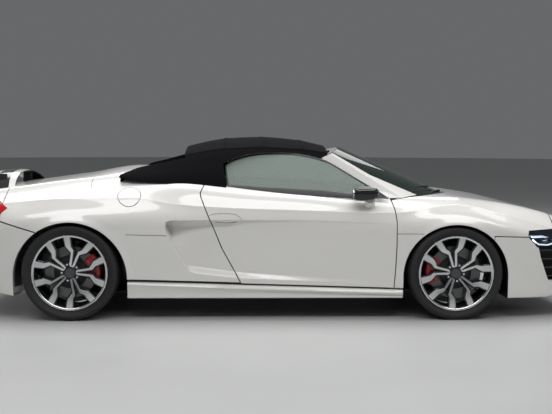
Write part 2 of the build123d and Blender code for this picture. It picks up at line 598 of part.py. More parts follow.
bumper_inner_x = overall_half_length * 0.98
front_rail_x = firewall_x + firewall_thickness
front_rail_z = (300, 380)
rear_rail_z = (430, 500)
bonnet_pin_radius = 6
lid_pin_radius = 6
front_subframe = box(front_axle_x - 160, front_axle_x + 160, -rail_outer_y, rail_outer_y, 150, 200)
rear_subframe = box(rear_axle_x - 200, rear_axle_x + 200, -rail_outer_y, rail_outer_y, 150, 200)
rear_subframe = rear_subframe + box(-820, -740, -rail_outer_y, rail_outer_y, 200, 260)
for side in (-1, 1):
    front_subframe = front_subframe + side_box(side, front_rail_x, bumper_inner_x, rail_inner_y, rail_outer_y,
                                               *front_rail_z)
    front_subframe = front_subframe + side_box(side, front_axle_x - 30, front_axle_x + 30, rail_inner_y,
                                               rail_outer_y, 150, 520)
    front_subframe = front_subframe + arms(side, front_axle_x, arm_eye_y["front"])
    rear_subframe = rear_subframe + side_box(side, -bumper_inner_x, bulkhead_x - bulkhead_thickness, rail_inner_y,
                                             rail_outer_y, *rear_rail_z)
    rear_subframe = rear_subframe + side_box(side, rear_axle_x - 30, rear_axle_x + 30, rail_inner_y,
                                             rail_outer_y, 150, 520)
    rear_subframe = rear_subframe + side_box(side, -810, -750, rail_inner_y, rail_outer_y, 200, 450)
    rear_subframe = rear_subframe + arms(side, rear_axle_x, arm_eye_y["rear"])
    # bonnet and lid hinge posts with their pins
    front_subframe = front_subframe + side_box(side, bonnet_hinge_x - 18, bonnet_hinge_x + 18, 395, 506, 320, 360)
    front_subframe = front_subframe + side_box(side, bonnet_hinge_x - 18, bonnet_hinge_x + 18, 488, 506, 320, 828)
    front_subframe = front_subframe + Pos(bonnet_hinge_x, side * 524, bonnet_hinge_z) * Rot(90, 0, 0) * Cylinder(
        bonnet_pin_radius, 40)
    rear_subframe = rear_subframe + side_box(side, lid_hinge_x - 16, lid_hinge_x + 16, 400, 560, 440, 480)
    rear_subframe = rear_subframe + side_box(side, lid_hinge_x - 16, lid_hinge_x + 16, 540, 560, 440, 884)
    rear_subframe = rear_subframe + Pos(lid_hinge_x, side * 522, lid_hinge_z) * Rot(90, 0, 0) * Cylinder(
        lid_pin_radius, 40)
    bonnet_lug = side_box(side, bonnet_hinge_x - 12, bonnet_hinge_x + 45, 510, 538, bonnet_hinge_z - 12, 900)
    bonnet = bonnet + (bonnet_lug & Pos(0, 0, -4) * body)
    bonnet = bonnet - Pos(bonnet_hinge_x, side * 524, bonnet_hinge_z) * Rot(90, 0, 0) * Cylinder(
        bonnet_pin_radius + running_fit, 40)
    lid_lug = side_box(side, lid_hinge_x - 10, lid_hinge_x + 40, 504, 536, lid_hinge_z - 12, 950)
    deck_lid = deck_lid + (lid_lug & Pos(0, 0, -4) * body)
    deck_lid = deck_lid - Pos(lid_hinge_x, side * 520, lid_hinge_z) * Rot(90, 0, 0) * Cylinder(
        lid_pin_radius + running_fit, 40)

# flat trays under the luggage well and the engine
undertray_z = (140, 150)
undertrays = [box(front_rail_x, 1500, -500, 500, *undertray_z),
              box(-1600, bulkhead_x - bulkhead_thickness, -560, 560, *undertray_z)]

# ---------------------------------------------------------------- cabin furniture
seat_y = 370


def seat(y):
    base = box(-200, 200, y - 180, y + 180, cabin_floor_z, 300)
    cushion = side_prism([(-250, 230), (250, 250), (290, 400), (250, 420), (-200, 370), (-250, 330)], y - 235, y + 235)
    back = side_prism([(-205, 365), (-330, 880), (-400, 980), (-470, 970), (-440, 860), (-330, 330), (-230, 300)],
                      y - 225, y + 225)
    return base + cushion + back


dashboard = side_prism([(firewall_x, 560), (firewall_x, 765), (846, 780), (700, 800), (560, 760), (520, 660), (600, 560)], -722, 722)
wheel_x = 430
wheel_z = 720
wheel_y = 370
rake = 24
steering_place = Pos(wheel_x, wheel_y, wheel_z) * Rot(0, 90 - rake + 0, 0)
wheel_axis = Vector(-cos(radians(rake)), 0, sin(radians(rake)))
steering_plane = Plane(origin=(wheel_x, wheel_y, wheel_z), z_dir=wheel_axis)
steering_wheel = steering_plane * (Torus(178, 15) + Cylinder(60, 36) + Box(350, 34, 14) + Pos(0, -90, 0) * Box(40, 170, 14))
column = steering_plane * Pos(0, 0, -150) * Cylinder(20, 260)
steering_wheel = steering_wheel - steering_plane * Pos(0, 0, -30) * Cylinder(20 + running_fit, 60)
dashboard = (dashboard + column)

# ---------------------------------------------------------------- door hinges
hinges = []
for z in (340, 600):
    pin = Pos(door_hinge_x, door_hinge_y, z) * Cylinder(door_pin_radius, 90)
    strap = box(door_hinge_x - 5, door_hinge_x + 5, door_inner_y - 30, door_hinge_y, z - 20, z + 20)
    reach = box(door_hinge_x - 5, firewall_x, door_inner_y - 30, door_inner_y - 12, z - 20, z + 20)
    hinges.append(pin + strap + reach)
    slot = box(door_hinge_x - 16, 1000, 700, door_hinge_y + 1, z - 27, z + 27)
    slot = slot + box(door_hinge_x, door_hinge_x + 14, door_hinge_y, door_hinge_y + 6, z - 27, z + 27)
    slot = slot + Pos(door_hinge_x, door_hinge_y, z) * Cylinder(8, 54)
    door_left = door_left - slot - Pos(door_hinge_x, door_hinge_y, z) * Cylinder(door_pin_radius + running_fit, 100)

# ---------------------------------------------------------------- lamps, grilles
headlamp = (body & side_prism(headlamp_outline, 640, half_width_limit)) - bonnet_hole
headlamp = max(headlamp.solids(), key=lambda s: s.volume)
lamp_seat = side_prism(headlamp_outline, 639, half_width_limit, seat_clearance)
front_bumper = front_bumper - lamp_seat - mirrored(lamp_seat)
front_grille = (Pos(-25, -25, 0) * body & intake_deep)
slats = None
for row in range(4):
    z = 300 + 42 * row
    slat = front_grille & box(1700, 2400, 500, half_width_limit, z, z + 14)
    slats = slat if slats is None else slats + slat

save("front_bumper", front_bumper)
save("front_grilles", list(slats.solids()) + list(mirrored(slats).solids()))
save("headlamps", [headlamp, mirrored(headlamp)])
save("front_fender_left", fender_left)
save("front_fender_right", mirrored(fender_left))
save("cowl_panel", cowl)
save("windscreen_frame", windscreen_frame)
save("windscreen", windscreen)
save("soft_top", soft_top)
save("rear_window", rear_window)
save("rear_quarter_left", quarter_left)
save("rear_quarter_right", mirrored(quarter_left))
save("fuel_flap", mirrored(fuel_cap))
save("rear_spoiler", rear_spoiler)
save("rear_bumper", rear_bumper)
save("tail_panel", tail_panel - lamp_hole - mirrored(lamp_hole))
save("tail_lamps", [tail_lamp, mirrored(tail_lamp)])
save("rear_grille", [rear_grille, diffuser])
save("side_sills", [sill_left, mirrored(sill_left)])
save("floor_tub", tub)
save("luggage_tub", luggage_tub)
save("undertrays", undertrays)
save("engine_block", engine_block)
save("exhaust", exhaust)
save("front_subframe", front_subframe)
save("rear_subframe", rear_subframe)
save("seats", [seat(-seat_y), seat(seat_y)])
save("dashboard", dashboard)
save("steering_wheel", steering_wheel)
save("door_hinges", hinges + [mirrored(h) for h in hinges])
save("bonnet", bonnet)
save("deck_lid", deck_lid)
save("door_left", door_left)
save("door_right", mirrored(door_left))
save("door_glass_left", door_glass_left)
save("door_glass_right", mirrored(door_glass_left))
save("mirror_left", mirror_left)
save("mirror_right", mirrored(mirror_left))
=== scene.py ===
import bmesh
import bpy
import math
import numpy as np
from mathutils import Matrix, Vector, kdtree


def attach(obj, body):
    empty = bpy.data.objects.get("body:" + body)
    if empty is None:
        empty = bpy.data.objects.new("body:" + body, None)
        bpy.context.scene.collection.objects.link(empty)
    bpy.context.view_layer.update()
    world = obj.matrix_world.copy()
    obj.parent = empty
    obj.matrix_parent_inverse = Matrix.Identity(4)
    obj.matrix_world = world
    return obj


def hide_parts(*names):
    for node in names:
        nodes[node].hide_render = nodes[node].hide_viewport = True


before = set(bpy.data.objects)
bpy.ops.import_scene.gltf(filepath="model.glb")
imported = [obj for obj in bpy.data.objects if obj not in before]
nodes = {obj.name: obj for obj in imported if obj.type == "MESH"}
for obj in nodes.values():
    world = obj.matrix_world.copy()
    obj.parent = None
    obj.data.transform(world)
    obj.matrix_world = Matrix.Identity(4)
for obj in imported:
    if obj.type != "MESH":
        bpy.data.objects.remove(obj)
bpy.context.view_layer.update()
MM = 0.001


def turn(count):
    """Evenly spaced angles of one full turn, in radians."""
    return np.linspace(0, 2 * math.pi, count, endpoint=False)


# ------------------------------------------------------------------ sizes, millimetres
FRONT_AXLE_X, REAR_AXLE_X = 1258, -1392
FRONT_ARCH = (FRONT_AXLE_X, 298, 363)
REAR_ARCH = (REAR_AXLE_X, 288, 390)
WALL_Y = 1200
SHUT_GAP = 7
SKIN_STEP = 0.014
SCUTTLE_CENTRE_X, SCUTTLE_RADIUS = 457, 872

# ------------------------------------------------------------------ materials


def material(name, color, rough, metallic=0.0, scale=60.0, bump=0.0, vary=0.06, coat=0.0, extra=None):
    """Procedural finish: a fine noise varies colour and roughness and drives a bump."""
    mat = bpy.data.materials.new(name)
    mat.use_nodes = True
    tree = mat.node_tree
    shader = tree.nodes["Principled BSDF"]
    where = tree.nodes.new("ShaderNodeTexCoord")
    noise = tree.nodes.new("ShaderNodeTexNoise")
    noise.inputs["Scale"].default_value = scale
    noise.inputs["Detail"].default_value = 4.0
    tree.links.new(where.outputs["Object"], noise.inputs["Vector"])
    tint = tree.nodes.new("ShaderNodeMix")
    tint.data_type = "RGBA"
    dark = [max(0.0, c * (1 - vary)) for c in color]
    light = [min(1.0, c * (1 + vary)) for c in color]
    tint.inputs["A"].default_value = (*dark, 1)
    tint.inputs["B"].default_value = (*light, 1)
    tree.links.new(noise.outputs["Fac"], tint.inputs["Factor"])
    tree.links.new(tint.outputs["Result"], shader.inputs["Base Color"])
    spread = tree.nodes.new("ShaderNodeMapRange")
    spread.inputs["To Min"].default_value = max(0.0, rough * 0.85)
    spread.inputs["To Max"].default_value = min(1.0, rough * 1.15)
    tree.links.new(noise.outputs["Fac"], spread.inputs["Value"])
    tree.links.new(spread.outputs["Result"], shader.inputs["Roughness"])
    shader.inputs["Metallic"].default_value = metallic
    shader.inputs["Coat Weight"].default_value = coat
    shader.inputs["Coat Roughness"].default_value = 0.04
    if bump:
        relief = tree.nodes.new("ShaderNodeBump")
        relief.inputs["Strength"].default_value = bump
        relief.inputs["Distance"].default_value = 0.001
        tree.links.new(noise.outputs["Fac"], relief.inputs["Height"])
        tree.links.new(relief.outputs["Normal"], shader.inputs["Normal"])
    if extra:
        extra(tree, shader, where)
    return mat


def glass_material(name, tint, clear):
    """Thin tinted glass: part of the light passes straight through."""
    mat = material(name, tint, 0.03, scale=8, vary=0.03)
    tree = mat.node_tree
    shader = tree.nodes["Principled BSDF"]
    output = tree.nodes["Material Output"]
    through = tree.nodes.new("ShaderNodeBsdfTransparent")
    through.inputs["Color"].default_value = (*[0.55 + 0.45 * c for c in tint], 1)
    mix = tree.nodes.new("ShaderNodeMixShader")
    edge = tree.nodes.new("ShaderNodeFresnel")
    edge.inputs["IOR"].default_value = 1.5
    level = tree.nodes.new("ShaderNodeMapRange")
    level.inputs["To Min"].default_value = 1 - clear
    level.inputs["To Max"].default_value = 1.0
    tree.links.new(edge.outputs["Fac"], level.inputs["Value"])
    tree.links.new(level.outputs["Result"], mix.inputs["Fac"])
    tree.links.new(through.outputs["BSDF"], mix.inputs[1])
    tree.links.new(shader.outputs["BSDF"], mix.inputs[2])
    tree.links.new(mix.outputs["Shader"], output.inputs["Surface"])
    return mat


def weave(tree, shader, where):
    """Fine woven relief for the top's cloth."""
    noise = tree.nodes.new("ShaderNodeTexNoise")
    noise.inputs["Scale"].default_value = 900
    noise.inputs["Detail"].default_value = 2
    tree.links.new(where.outputs["Object"], noise.inputs["Vector"])
    relief = tree.nodes.new("ShaderNodeBump")
    relief.inputs["Strength"].default_value = 0.35
    relief.inputs["Distance"].default_value = 0.0006
    tree.links.new(noise.outputs["Fac"], relief.inputs["Height"])
    tree.links.new(relief.outputs["Normal"], shader.inputs["Normal"])
    shader.inputs["Specular IOR Level"].default_value = 0.06


def glow(strength, color):
    def add(tree, shader, where):
        shader.inputs["Emission Color"].default_value = (*color, 1)
        shader.inputs["Emission Strength"].default_value = strength
    return add


PAINT = material("paint", (0.80, 0.785, 0.76), 0.32, scale=900, vary=0.012, coat=1.0)
GLOSS_BLACK = material("gloss_black", (0.012, 0.012, 0.013), 0.12, scale=40, coat=0.6)
BLACK = material("black_plastic", (0.022, 0.022, 0.024), 0.55, scale=700, bump=0.3)
LINER = material("arch_liner", (0.012, 0.012, 0.013), 0.85, scale=300, bump=0.5)
CLOTH = material("top_cloth", (0.0055, 0.0055, 0.0065), 0.97, scale=500, extra=weave)
LEATHER = material("leather", (0.03, 0.03, 0.032), 0.5, scale=350, bump=0.5)
RUBBER = material("rubber", (0.016, 0.016, 0.017), 0.7, scale=500, bump=0.3)
ALLOY = material("machined_alloy", (0.74, 0.74, 0.76), 0.22, metallic=1.0, scale=220, vary=0.08)
STEEL = material("steel", (0.16, 0.16, 0.165), 0.38, metallic=1.0, scale=160, vary=0.1)
DISC_HAT = material("disc_hat", (0.05, 0.05, 0.055), 0.5, metallic=0.6, scale=200, bump=0.2)
CAST = material("cast_metal", (0.11, 0.11, 0.12), 0.6, metallic=0.7, scale=240, bump=0.4)
RED = material("caliper_red", (0.50, 0.012, 0.02), 0.3, scale=80, coat=0.6)
GLASS = glass_material("side_glass", (0.62, 0.70, 0.65), 0.74)
SCREEN_GLASS = glass_material("screen_glass", (0.02, 0.034, 0.026), 0.42)
LENS = glass_material("lamp_lens", (0.06, 0.07, 0.09), 0.86)
LAMP_RED = material("lamp_red", (0.55, 0.009, 0.012), 0.12, scale=50, coat=1.0)
LAMP_AMBER = material("lamp_amber", (0.75, 0.16, 0.01), 0.2, scale=50, coat=0.5)
LED = material("led_strip", (0.85, 0.92, 1.0), 0.3, scale=50, extra=glow(4.5, (0.75, 0.87, 1.0)))
CHROME = material("chrome", (0.75, 0.75, 0.77), 0.08, metallic=1.0, scale=60)

# ------------------------------------------------------------------ body surface
# One row per station: x, floor y z, rocker y z, tuck y z, waist y z, crest y z,
# deck edge y z, crown z. Each column runs smoothly along the car.
STATIONS = [
    (-2217, 430, 330, 500, 345, 548, 450, 600, 560, 590, 720, 520, 800, 815),
    (-2050, 640, 215, 760, 240, 795, 400, 835, 600, 800, 770, 600, 868, 880),
    (-1750, 700, 150, 900, 165, 912, 330, 942, 640, 850, 812, 620, 912, 925),
    (-1392, 700, 130, 915, 150, 924, 330, 952, 640, 870, 835, 620, 958, 975),
    (-1000, 700, 130, 905, 150, 913, 330, 940, 640, 870, 835, 650, 985, 1035),
    (-480, 700, 130, 895, 150, 897, 330, 912, 620, 880, 780, 790, 915, 1000),
    (200, 700, 130, 890, 150, 894, 330, 897, 600, 872, 755, 790, 856, 900),
    (834, 700, 130, 893, 150, 898, 330, 905, 600, 875, 740, 770, 826, 880),
    (1258, 640, 140, 905, 150, 912, 330, 940, 640, 860, 795, 660, 835, 845),
    (1600, 640, 140, 900, 150, 907, 330, 928, 600, 850, 725, 640, 797, 800),
    (1900, 640, 130, 850, 150, 862, 300, 885, 520, 820, 640, 620, 733, 735),
    (2120, 600, 130, 690, 150, 706, 300, 735, 480, 700, 590, 560, 655, 665),
    (2217, 380, 170, 440, 190, 462, 300, 500, 430, 480, 520, 400, 585, 600),
]
TABLE = np.array(STATIONS, float)
# Values of t at the corners of a station that panels start and end on.
WAIST, CREST, EDGE, CROWN = 3, 4, 5, 7


def slopes(x, y):
    """Slopes of a smooth curve through the points that never overshoots them."""
    h = np.diff(x)
    d = np.diff(y, axis=0) / h.reshape((-1,) + (1,) * (y.ndim - 1))
    m = np.zeros_like(y)
    w1 = (2 * h[1:] + h[:-1]).reshape((-1,) + (1,) * (y.ndim - 1))
    w2 = (h[1:] + 2 * h[:-1]).reshape((-1,) + (1,) * (y.ndim - 1))
    same = d[:-1] * d[1:] > 0
    safe_a = np.where(same, d[:-1], 1.0)
    safe_b = np.where(same, d[1:], 1.0)
    m[1:-1] = np.where(same, (w1 + w2) / (w1 / safe_a + w2 / safe_b), 0.0)
    m[0] = d[0]
    m[-1] = d[-1]
    return m


def curve_at(x, y, q):
    """Value at q of the smooth curve through (x, y), one curve per trailing column."""
    m = slopes(x, y)
    i = np.clip(np.searchsorted(x, q) - 1, 0, len(x) - 2)
    h = x[i + 1] - x[i]
    u = (q - x[i]) / h
    shape = (-1,) + (1,) * (y.ndim - 1)
    u = u.reshape(shape)
    h = h.reshape(shape)
    return ((1 + 2 * u) * (1 - u) ** 2 * y[i] + u * (1 - u) ** 2 * h * m[i]
            + u * u * (3 - 2 * u) * y[i + 1] + u * u * (u - 1) * h * m[i + 1])


def section_points(x):
    """Control points of the half-section at each x: arrays of y and z, floor to past the crown."""
    c = curve_at(TABLE[:, 0], TABLE[:, 1:], np.clip(x, TABLE[0, 0], TABLE[-1, 0]))
    floor_y, floor_z, rock_y, rock_z, tuck_y, tuck_z = c.T[:6]
    waist_y, waist_z, crest_y, crest_z, edge_y, edge_z, top = c.T[6:]
    mid_z = edge_z + 0.75 * (top - edge_z)
    y = np.stack([floor_y, rock_y, tuck_y, waist_y, crest_y, edge_y, edge_y / 2, 0 * top, -edge_y / 2])
    z = np.stack([floor_z, rock_z, tuck_z, waist_z, crest_z, edge_z, mid_z, top, mid_z])
    return y, z


def creased(knots, values, t):
    """Smooth curve with a soft edge at the crest: partly two curves that meet there."""
    smooth = curve_at(knots, values, t)
    low = curve_at(knots[:CREST + 1], values[:CREST + 1], np.minimum(t, CREST))
    high = curve_at(knots[CREST:], values[CREST:], np.maximum(t, CREST))
    split = np.where((t <= CREST)[:, None], low, high)
    return smooth * (1 - CREASE) + split * CREASE


CREASE = 0.6
SCOOP_OUTLINE = [(-742, 640), (-735, 676), (-700, 690), (300, 688), (838, 664), (838, 242), (127, 270),
                 (-246, 289), (-439, 308), (-535, 322), (-578, 341), (-635, 413), (-702, 544)]
SCOOP_FLOOR = [(-800, 340), (-535, 322), (-246, 289), (127, 270), (840, 242)]
SCOOP_FRONT_X, SCOOP_REAR_X, SCOOP_TOP_Z = 840, -742, 692
SCOOP_DEPTH, DUCT_DEPTH, DUCT_REACH = 56, 72, 150
LEDGE_HEIGHT, LEDGE_DEPTH, CEILING_HEIGHT = 46, 44, 56


def inside_distance(outline, x, z):
    """Signed distance to a closed outline in side view, positive inside."""
    pts = np.array(outline, float)
    best = np.full(x.shape, 1e9)
    inside = np.zeros(x.shape, bool)
    for a, b in zip(pts, np.roll(pts, -1, axis=0)):
        d = b - a
        u = np.clip(((x - a[0]) * d[0] + (z - a[1]) * d[1]) / (d @ d), 0, 1)
        best = np.minimum(best, np.hypot(x - a[0] - u * d[0], z - a[1] - u * d[1]))
        crosses = (a[1] > z) != (b[1] > z)
        span = d[1] if d[1] else 1.0
        inside ^= crosses & (x < a[0] + (z - a[1]) * d[0] / span)
    return np.where(inside, best, -best)


def smooth_step(u):
    u = np.clip(u, 0, 1)
    return u * u * (3 - 2 * u)


def scoop_depth(x, z):
    """Hollow of the side scoop: a ledge along its floor, deepest under its top edge and at its rear."""
    back = np.clip((SCOOP_FRONT_X - x) / (SCOOP_FRONT_X - SCOOP_REAR_X), 0, 1)
    ledge_height = LEDGE_HEIGHT * back ** 0.5 + 1
    ledge_depth = LEDGE_DEPTH * back ** 1.2
    duct = DUCT_DEPTH * np.exp((SCOOP_REAR_X - x) / DUCT_REACH)
    full = np.maximum(SCOOP_DEPTH * back ** 1.6 + duct, ledge_depth)
    floor_z = np.interp(x, *np.array(SCOOP_FLOOR, float).T)
    on_ledge = np.clip((z - floor_z) / ledge_height, 0, 1)
    above = np.clip((z - floor_z - ledge_height) / (SCOOP_TOP_Z - floor_z - ledge_height), 0, 1)
    ceiling = np.clip((SCOOP_TOP_Z - z) / CEILING_HEIGHT, 0, 1)
    depth = ledge_depth * on_ledge + (full - ledge_depth) * smooth_step(above / 0.8)
    depth = depth * (1 - (1 - ceiling) ** 2)
    return depth * smooth_step(inside_distance(SCOOP_OUTLINE, x, z) / 9)


def surface(x, t, relief=True):
    """Points of the body surface on a grid: x along the car, t up the half-section."""
    ys, zs = section_points(x)
    knots = np.arange(ys.shape[0], dtype=float)
    y = creased(knots, ys, t).T
    z = creased(knots, zs, t).T
    xx = np.repeat(x[:, None], len(t), axis=1)
    if relief:
        for axle_x, arch_z, radius in (FRONT_ARCH, REAR_ARCH):
            r = np.hypot(xx - axle_x, z - arch_z)
            r = np.where(z < arch_z, np.abs(xx - axle_x), r)
            y = y + 7 * np.exp(-((r - radius) / 28) ** 2) * (y > 820)
        y = y - scoop_depth(xx, z) * (y > 820)
    return xx, y, z


def with_mirror(p):
    """A right half grid that ends on the centre line, with its mirror image joined on."""
    mirror = p[:, ::-1].copy()
    mirror[:, :, 1] *= -1
    return np.concatenate([p, mirror[:, 1:]], axis=1)


def grid_normals(p):
    """Outward unit normals of a grid of points (n, m, 3)."""
    du = np.gradient(p, axis=0)
    dv = np.gradient(p, axis=1)
    n = np.cross(du, dv)
    n /= np.maximum(np.linalg.norm(n, axis=2, keepdims=True), 1e-9)
    return n


# ------------------------------------------------------------------ mesh helpers


def mesh_object(name, points, faces, mats, smooth=True):
    """New object from points in millimetres."""
    mesh = bpy.data.meshes.new(name)
    mesh.from_pydata([tuple(c * MM for c in p) for p in points], [], faces)
    mesh.validate()
    for mat in mats:
        mesh.materials.append(mat)
    if smooth:
        mesh.polygons.foreach_set("use_smooth", [True] * len(mesh.polygons))
    obj = bpy.data.objects.new(name, mesh)
    bpy.context.scene.collection.objects.link(obj)
    return obj


def prism(name, outline, a, b, axis):
    """Closed prism of an outline: axis y takes (x, z) points, axis z takes (x, y) points."""
    n = len(outline)
    if axis == "y":
        points = [(x, a, z) for x, z in outline] + [(x, b, z) for x, z in outline]
    elif axis == "x":
        points = [(a, y, z) for y, z in outline] + [(b, y, z) for y, z in outline]
    else:
        points = [(x, y, a) for x, y in outline] + [(x, y, b) for x, y in outline]
    faces = [list(range(n)), list(range(2 * n - 1, n - 1, -1))]
    faces += [[i, n + i, n + (i + 1) % n, (i + 1) % n] for i in range(n)]
    obj = mesh_object(name, points, faces, [], smooth=False)
    recalc_outward(obj)
    return obj


def recalc_outward(obj):
    bm = bmesh.new()
    bm.from_mesh(obj.data)
    bmesh.ops.recalc_face_normals(bm, faces=bm.faces)
    bm.to_mesh(obj.data)
    bm.free()


def cut(obj, tool, operation="DIFFERENCE", folded=False):
    """Boolean, applied at once; the tool is removed. folded is for a shell that crosses itself."""
    mod = obj.modifiers.new("cut", "BOOLEAN")
    mod.operation = operation
    mod.solver = "EXACT"
    mod.object = tool
    mod.use_self = folded
    graph = bpy.context.evaluated_depsgraph_get()
    result = bpy.data.meshes.new_from_object(obj.evaluated_get(graph))
    obj.modifiers.clear()
    old = obj.data
    obj.data = result
    bpy.data.meshes.remove(old)
    bpy.data.objects.remove(tool)
    return obj


def grown(outline, amount):
    """Outline moved outwards by an amount, corners kept sharp."""
    pts = np.array(outline, float)
    area = np.sum(pts[:, 0] * np.roll(pts[:, 1], -1) - np.roll(pts[:, 0], -1) * pts[:, 1])
    turn = 1 if area > 0 else -1
    result = []
    for i in range(len(pts)):
        a, b, c = pts[i - 1], pts[i], pts[(i + 1) % len(pts)]
        d1 = (b - a) / np.linalg.norm(b - a)
        d2 = (c - b) / np.linalg.norm(c - b)
        n1 = np.array([d1[1], -d1[0]]) * turn
        n2 = np.array([d2[1], -d2[0]]) * turn
        bis = n1 + n2
        bis /= max(1 + n1 @ n2, 0.3)
        result.append(tuple(b + bis * amount))
    return result


def arch_outline(arch, grow=0):
    """Wheel opening in side view: round above its centre and straight below."""
    x, z, r = arch
    r += grow
    top = [(x + r * math.cos(a), z + r * math.sin(a)) for a in np.linspace(0, math.pi, 73)]
    return [(x + r, -50)] + top + [(x - r, -50)]


def capped(p, toward):
    """The grid with extra rows that close its end with a gently crowned face."""
    end = p[-1] if toward > 0 else p[0]
    centre = np.array([end[:, 0].mean(), 0, (end[:, 2].min() + end[:, 2].max()) / 2])
    rows = []
    for s in (0.985, 0.95, 0.88, 0.75, 0.6, 0.45, 0.3, 0.15, 0.03):
        row = centre + (end - centre) * np.array([1, s, s])
        row[:, 0] += toward * 1.0 * (1 - s)
        rows.append(row)
    block = np.stack(rows)
    return np.concatenate([p, block]) if toward > 0 else np.concatenate([block[::-1], p])


FLIP_Y = np.array([1, -1, 1])


def mirror_copy(obj, name):
    """Mirror image on the other side of the car."""
    mesh = obj.data.copy()
    mesh.transform(Matrix.Scale(-1, 4, (0, 1, 0)))
    mesh.flip_normals()
    other = bpy.data.objects.new(name, mesh)
    bpy.context.scene.collection.objects.link(other)
    return other


def closed_grid(name, p, q, mats):
    """Closed shell between two grids of points, the outer one first."""
    rows, cols = p.shape[:2]
    count = rows * cols
    faces = []
    for i in range(rows - 1):
        for j in range(cols - 1):
            quad = [i * cols + j, (i + 1) * cols + j, (i + 1) * cols + j + 1, i * cols + j + 1]
            faces += [quad, [count + k for k in reversed(quad)]]
    rim = [j for j in range(cols)] + [i * cols + cols - 1 for i in range(1, rows)]
    rim += [(rows - 1) * cols + j for j in range(cols - 2, -1, -1)]
    rim += [i * cols for i in range(rows - 2, 0, -1)]
    for a, b in zip(rim, rim[1:] + rim[:1]):
        faces.append([a, b, count + b, count + a])
    obj = mesh_object(name, np.concatenate([p.reshape(-1, 3), q.reshape(-1, 3)]), faces, mats)
    recalc_outward(obj)
    return obj


class Panel:
    """A piece cut from the body surface, kept with the exact surface for its shading."""

    def __init__(self, name, x0, x1, t0, t1, step_x, step_t, inner, both=False, cap=0, depth=0.0,
                 relief=True):
        nx = max(8, int((x1 - x0) / step_x))
        nt = max(6, int((t1 - t0) / step_t))
        x = np.linspace(x0, x1, nx)
        t = np.linspace(t0, t1, nt)
        xx, y, z = surface(x, t, relief)
        p = np.stack([xx, -y, z], axis=2)
        if both:
            p = with_mirror(p)
        if cap:
            p = capped(p, cap)
        n = grid_normals(p)
        if n[nx // 2, p.shape[1] // 2] @ np.array([0, -1, 0.6]) < 0:
            n = -n
        p = p - n * depth
        if callable(inner):
            q = inner(p, n)
        else:
            q = p - n * inner
        self.obj = closed_grid(name, p, q, [PAINT, LINER])
        self.skin = p.reshape(-1, 3) * MM
        self.skin_normals = n.reshape(-1, 3)

    def keep(self, outline, axis="y", a=-WALL_Y, b=WALL_Y):
        cut(self.obj, prism("keep", outline, a, b, axis), "INTERSECT")
        return self

    def drop(self, outline, axis="y", a=-WALL_Y, b=WALL_Y):
        cut(self.obj, prism("drop", outline, a, b, axis), "DIFFERENCE")
        return self

    def shade(self, obj, skin, normals):
        """Give the outer faces the exact normals of the body surface."""
        mesh = obj.data
        tree = kdtree.KDTree(len(skin))
        for i, p in enumerate(skin):
            tree.insert(p, i)
        tree.balance()
        near = [tree.find_n(v.co, 4) for v in mesh.vertices]
        index = np.array([[i for _, i, _ in hits] for hits in near])
        gap = np.array([[d for _, _, d in hits] for hits in near])
        n = (normals[index] / (gap + 1e-5)[:, :, None]).sum(axis=1)
        n /= np.maximum(np.linalg.norm(n, axis=1, keepdims=True), 1e-9)
        loops, sizes = np.empty(len(mesh.loops), int), np.empty(len(mesh.polygons), int)
        face_n, slots = np.empty(3 * len(mesh.polygons)), np.empty(len(mesh.polygons), int)
        mesh.loops.foreach_get("vertex_index", loops)
        mesh.polygons.foreach_get("loop_total", sizes)
        mesh.polygons.foreach_get("normal", face_n)
        mesh.polygons.foreach_get("material_index", slots)
        face_n = face_n.reshape(-1, 3)
        face = np.repeat(np.arange(len(sizes)), sizes)
        match = (face_n[face] * n[loops]).sum(axis=1)
        on_skin = (match > 0.75) & (gap[loops, 0] < SKIN_STEP)
        slots[face[match < -0.3]] = 1
        mesh.polygons.foreach_set("material_index", slots)
        mesh.polygons.foreach_set("use_smooth", [True] * len(slots))
        mesh.normals_split_custom_set(np.where(on_skin[:, None], n[loops], face_n[face]).tolist())

    def line_wells(self, obj):
        """Faces inside a wheel opening get the dark liner."""
        mesh = obj.data
        for poly in mesh.polygons:
            c = poly.center / MM
            for x, z, r in (FRONT_ARCH, REAR_ARCH):
                d = Vector((c.x - x, 0, c.z - z)) if c.z > z else Vector((c.x - x, 0, 0))
                if abs(d.length - r) < 1.5 and poly.normal.dot(d.normalized()) < -0.8:
                    poly.material_index = 1

    def finish(self, body, replaced, twin=None):
        """Place the piece on its body, and its mirror image if the other side has one."""
        self.line_wells(self.obj)
        if twin:
            other = mirror_copy(self.obj, twin[0])
            self.shade(other, self.skin * FLIP_Y, self.skin_normals * FLIP_Y)
            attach(other, twin[1])
            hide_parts(twin[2])
        self.shade(self.obj, self.skin, self.skin_normals)
        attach(self.obj, body)
        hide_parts(replaced)


def to_plane(y):
    """Inner wall on a plane beside the cabin: the panel is as thick as the real wall."""
    def place(p, n):
        q = p.copy()
        q[:, :, 1] = np.maximum(-y, p[:, :, 1] + 8)
        return q
    return place


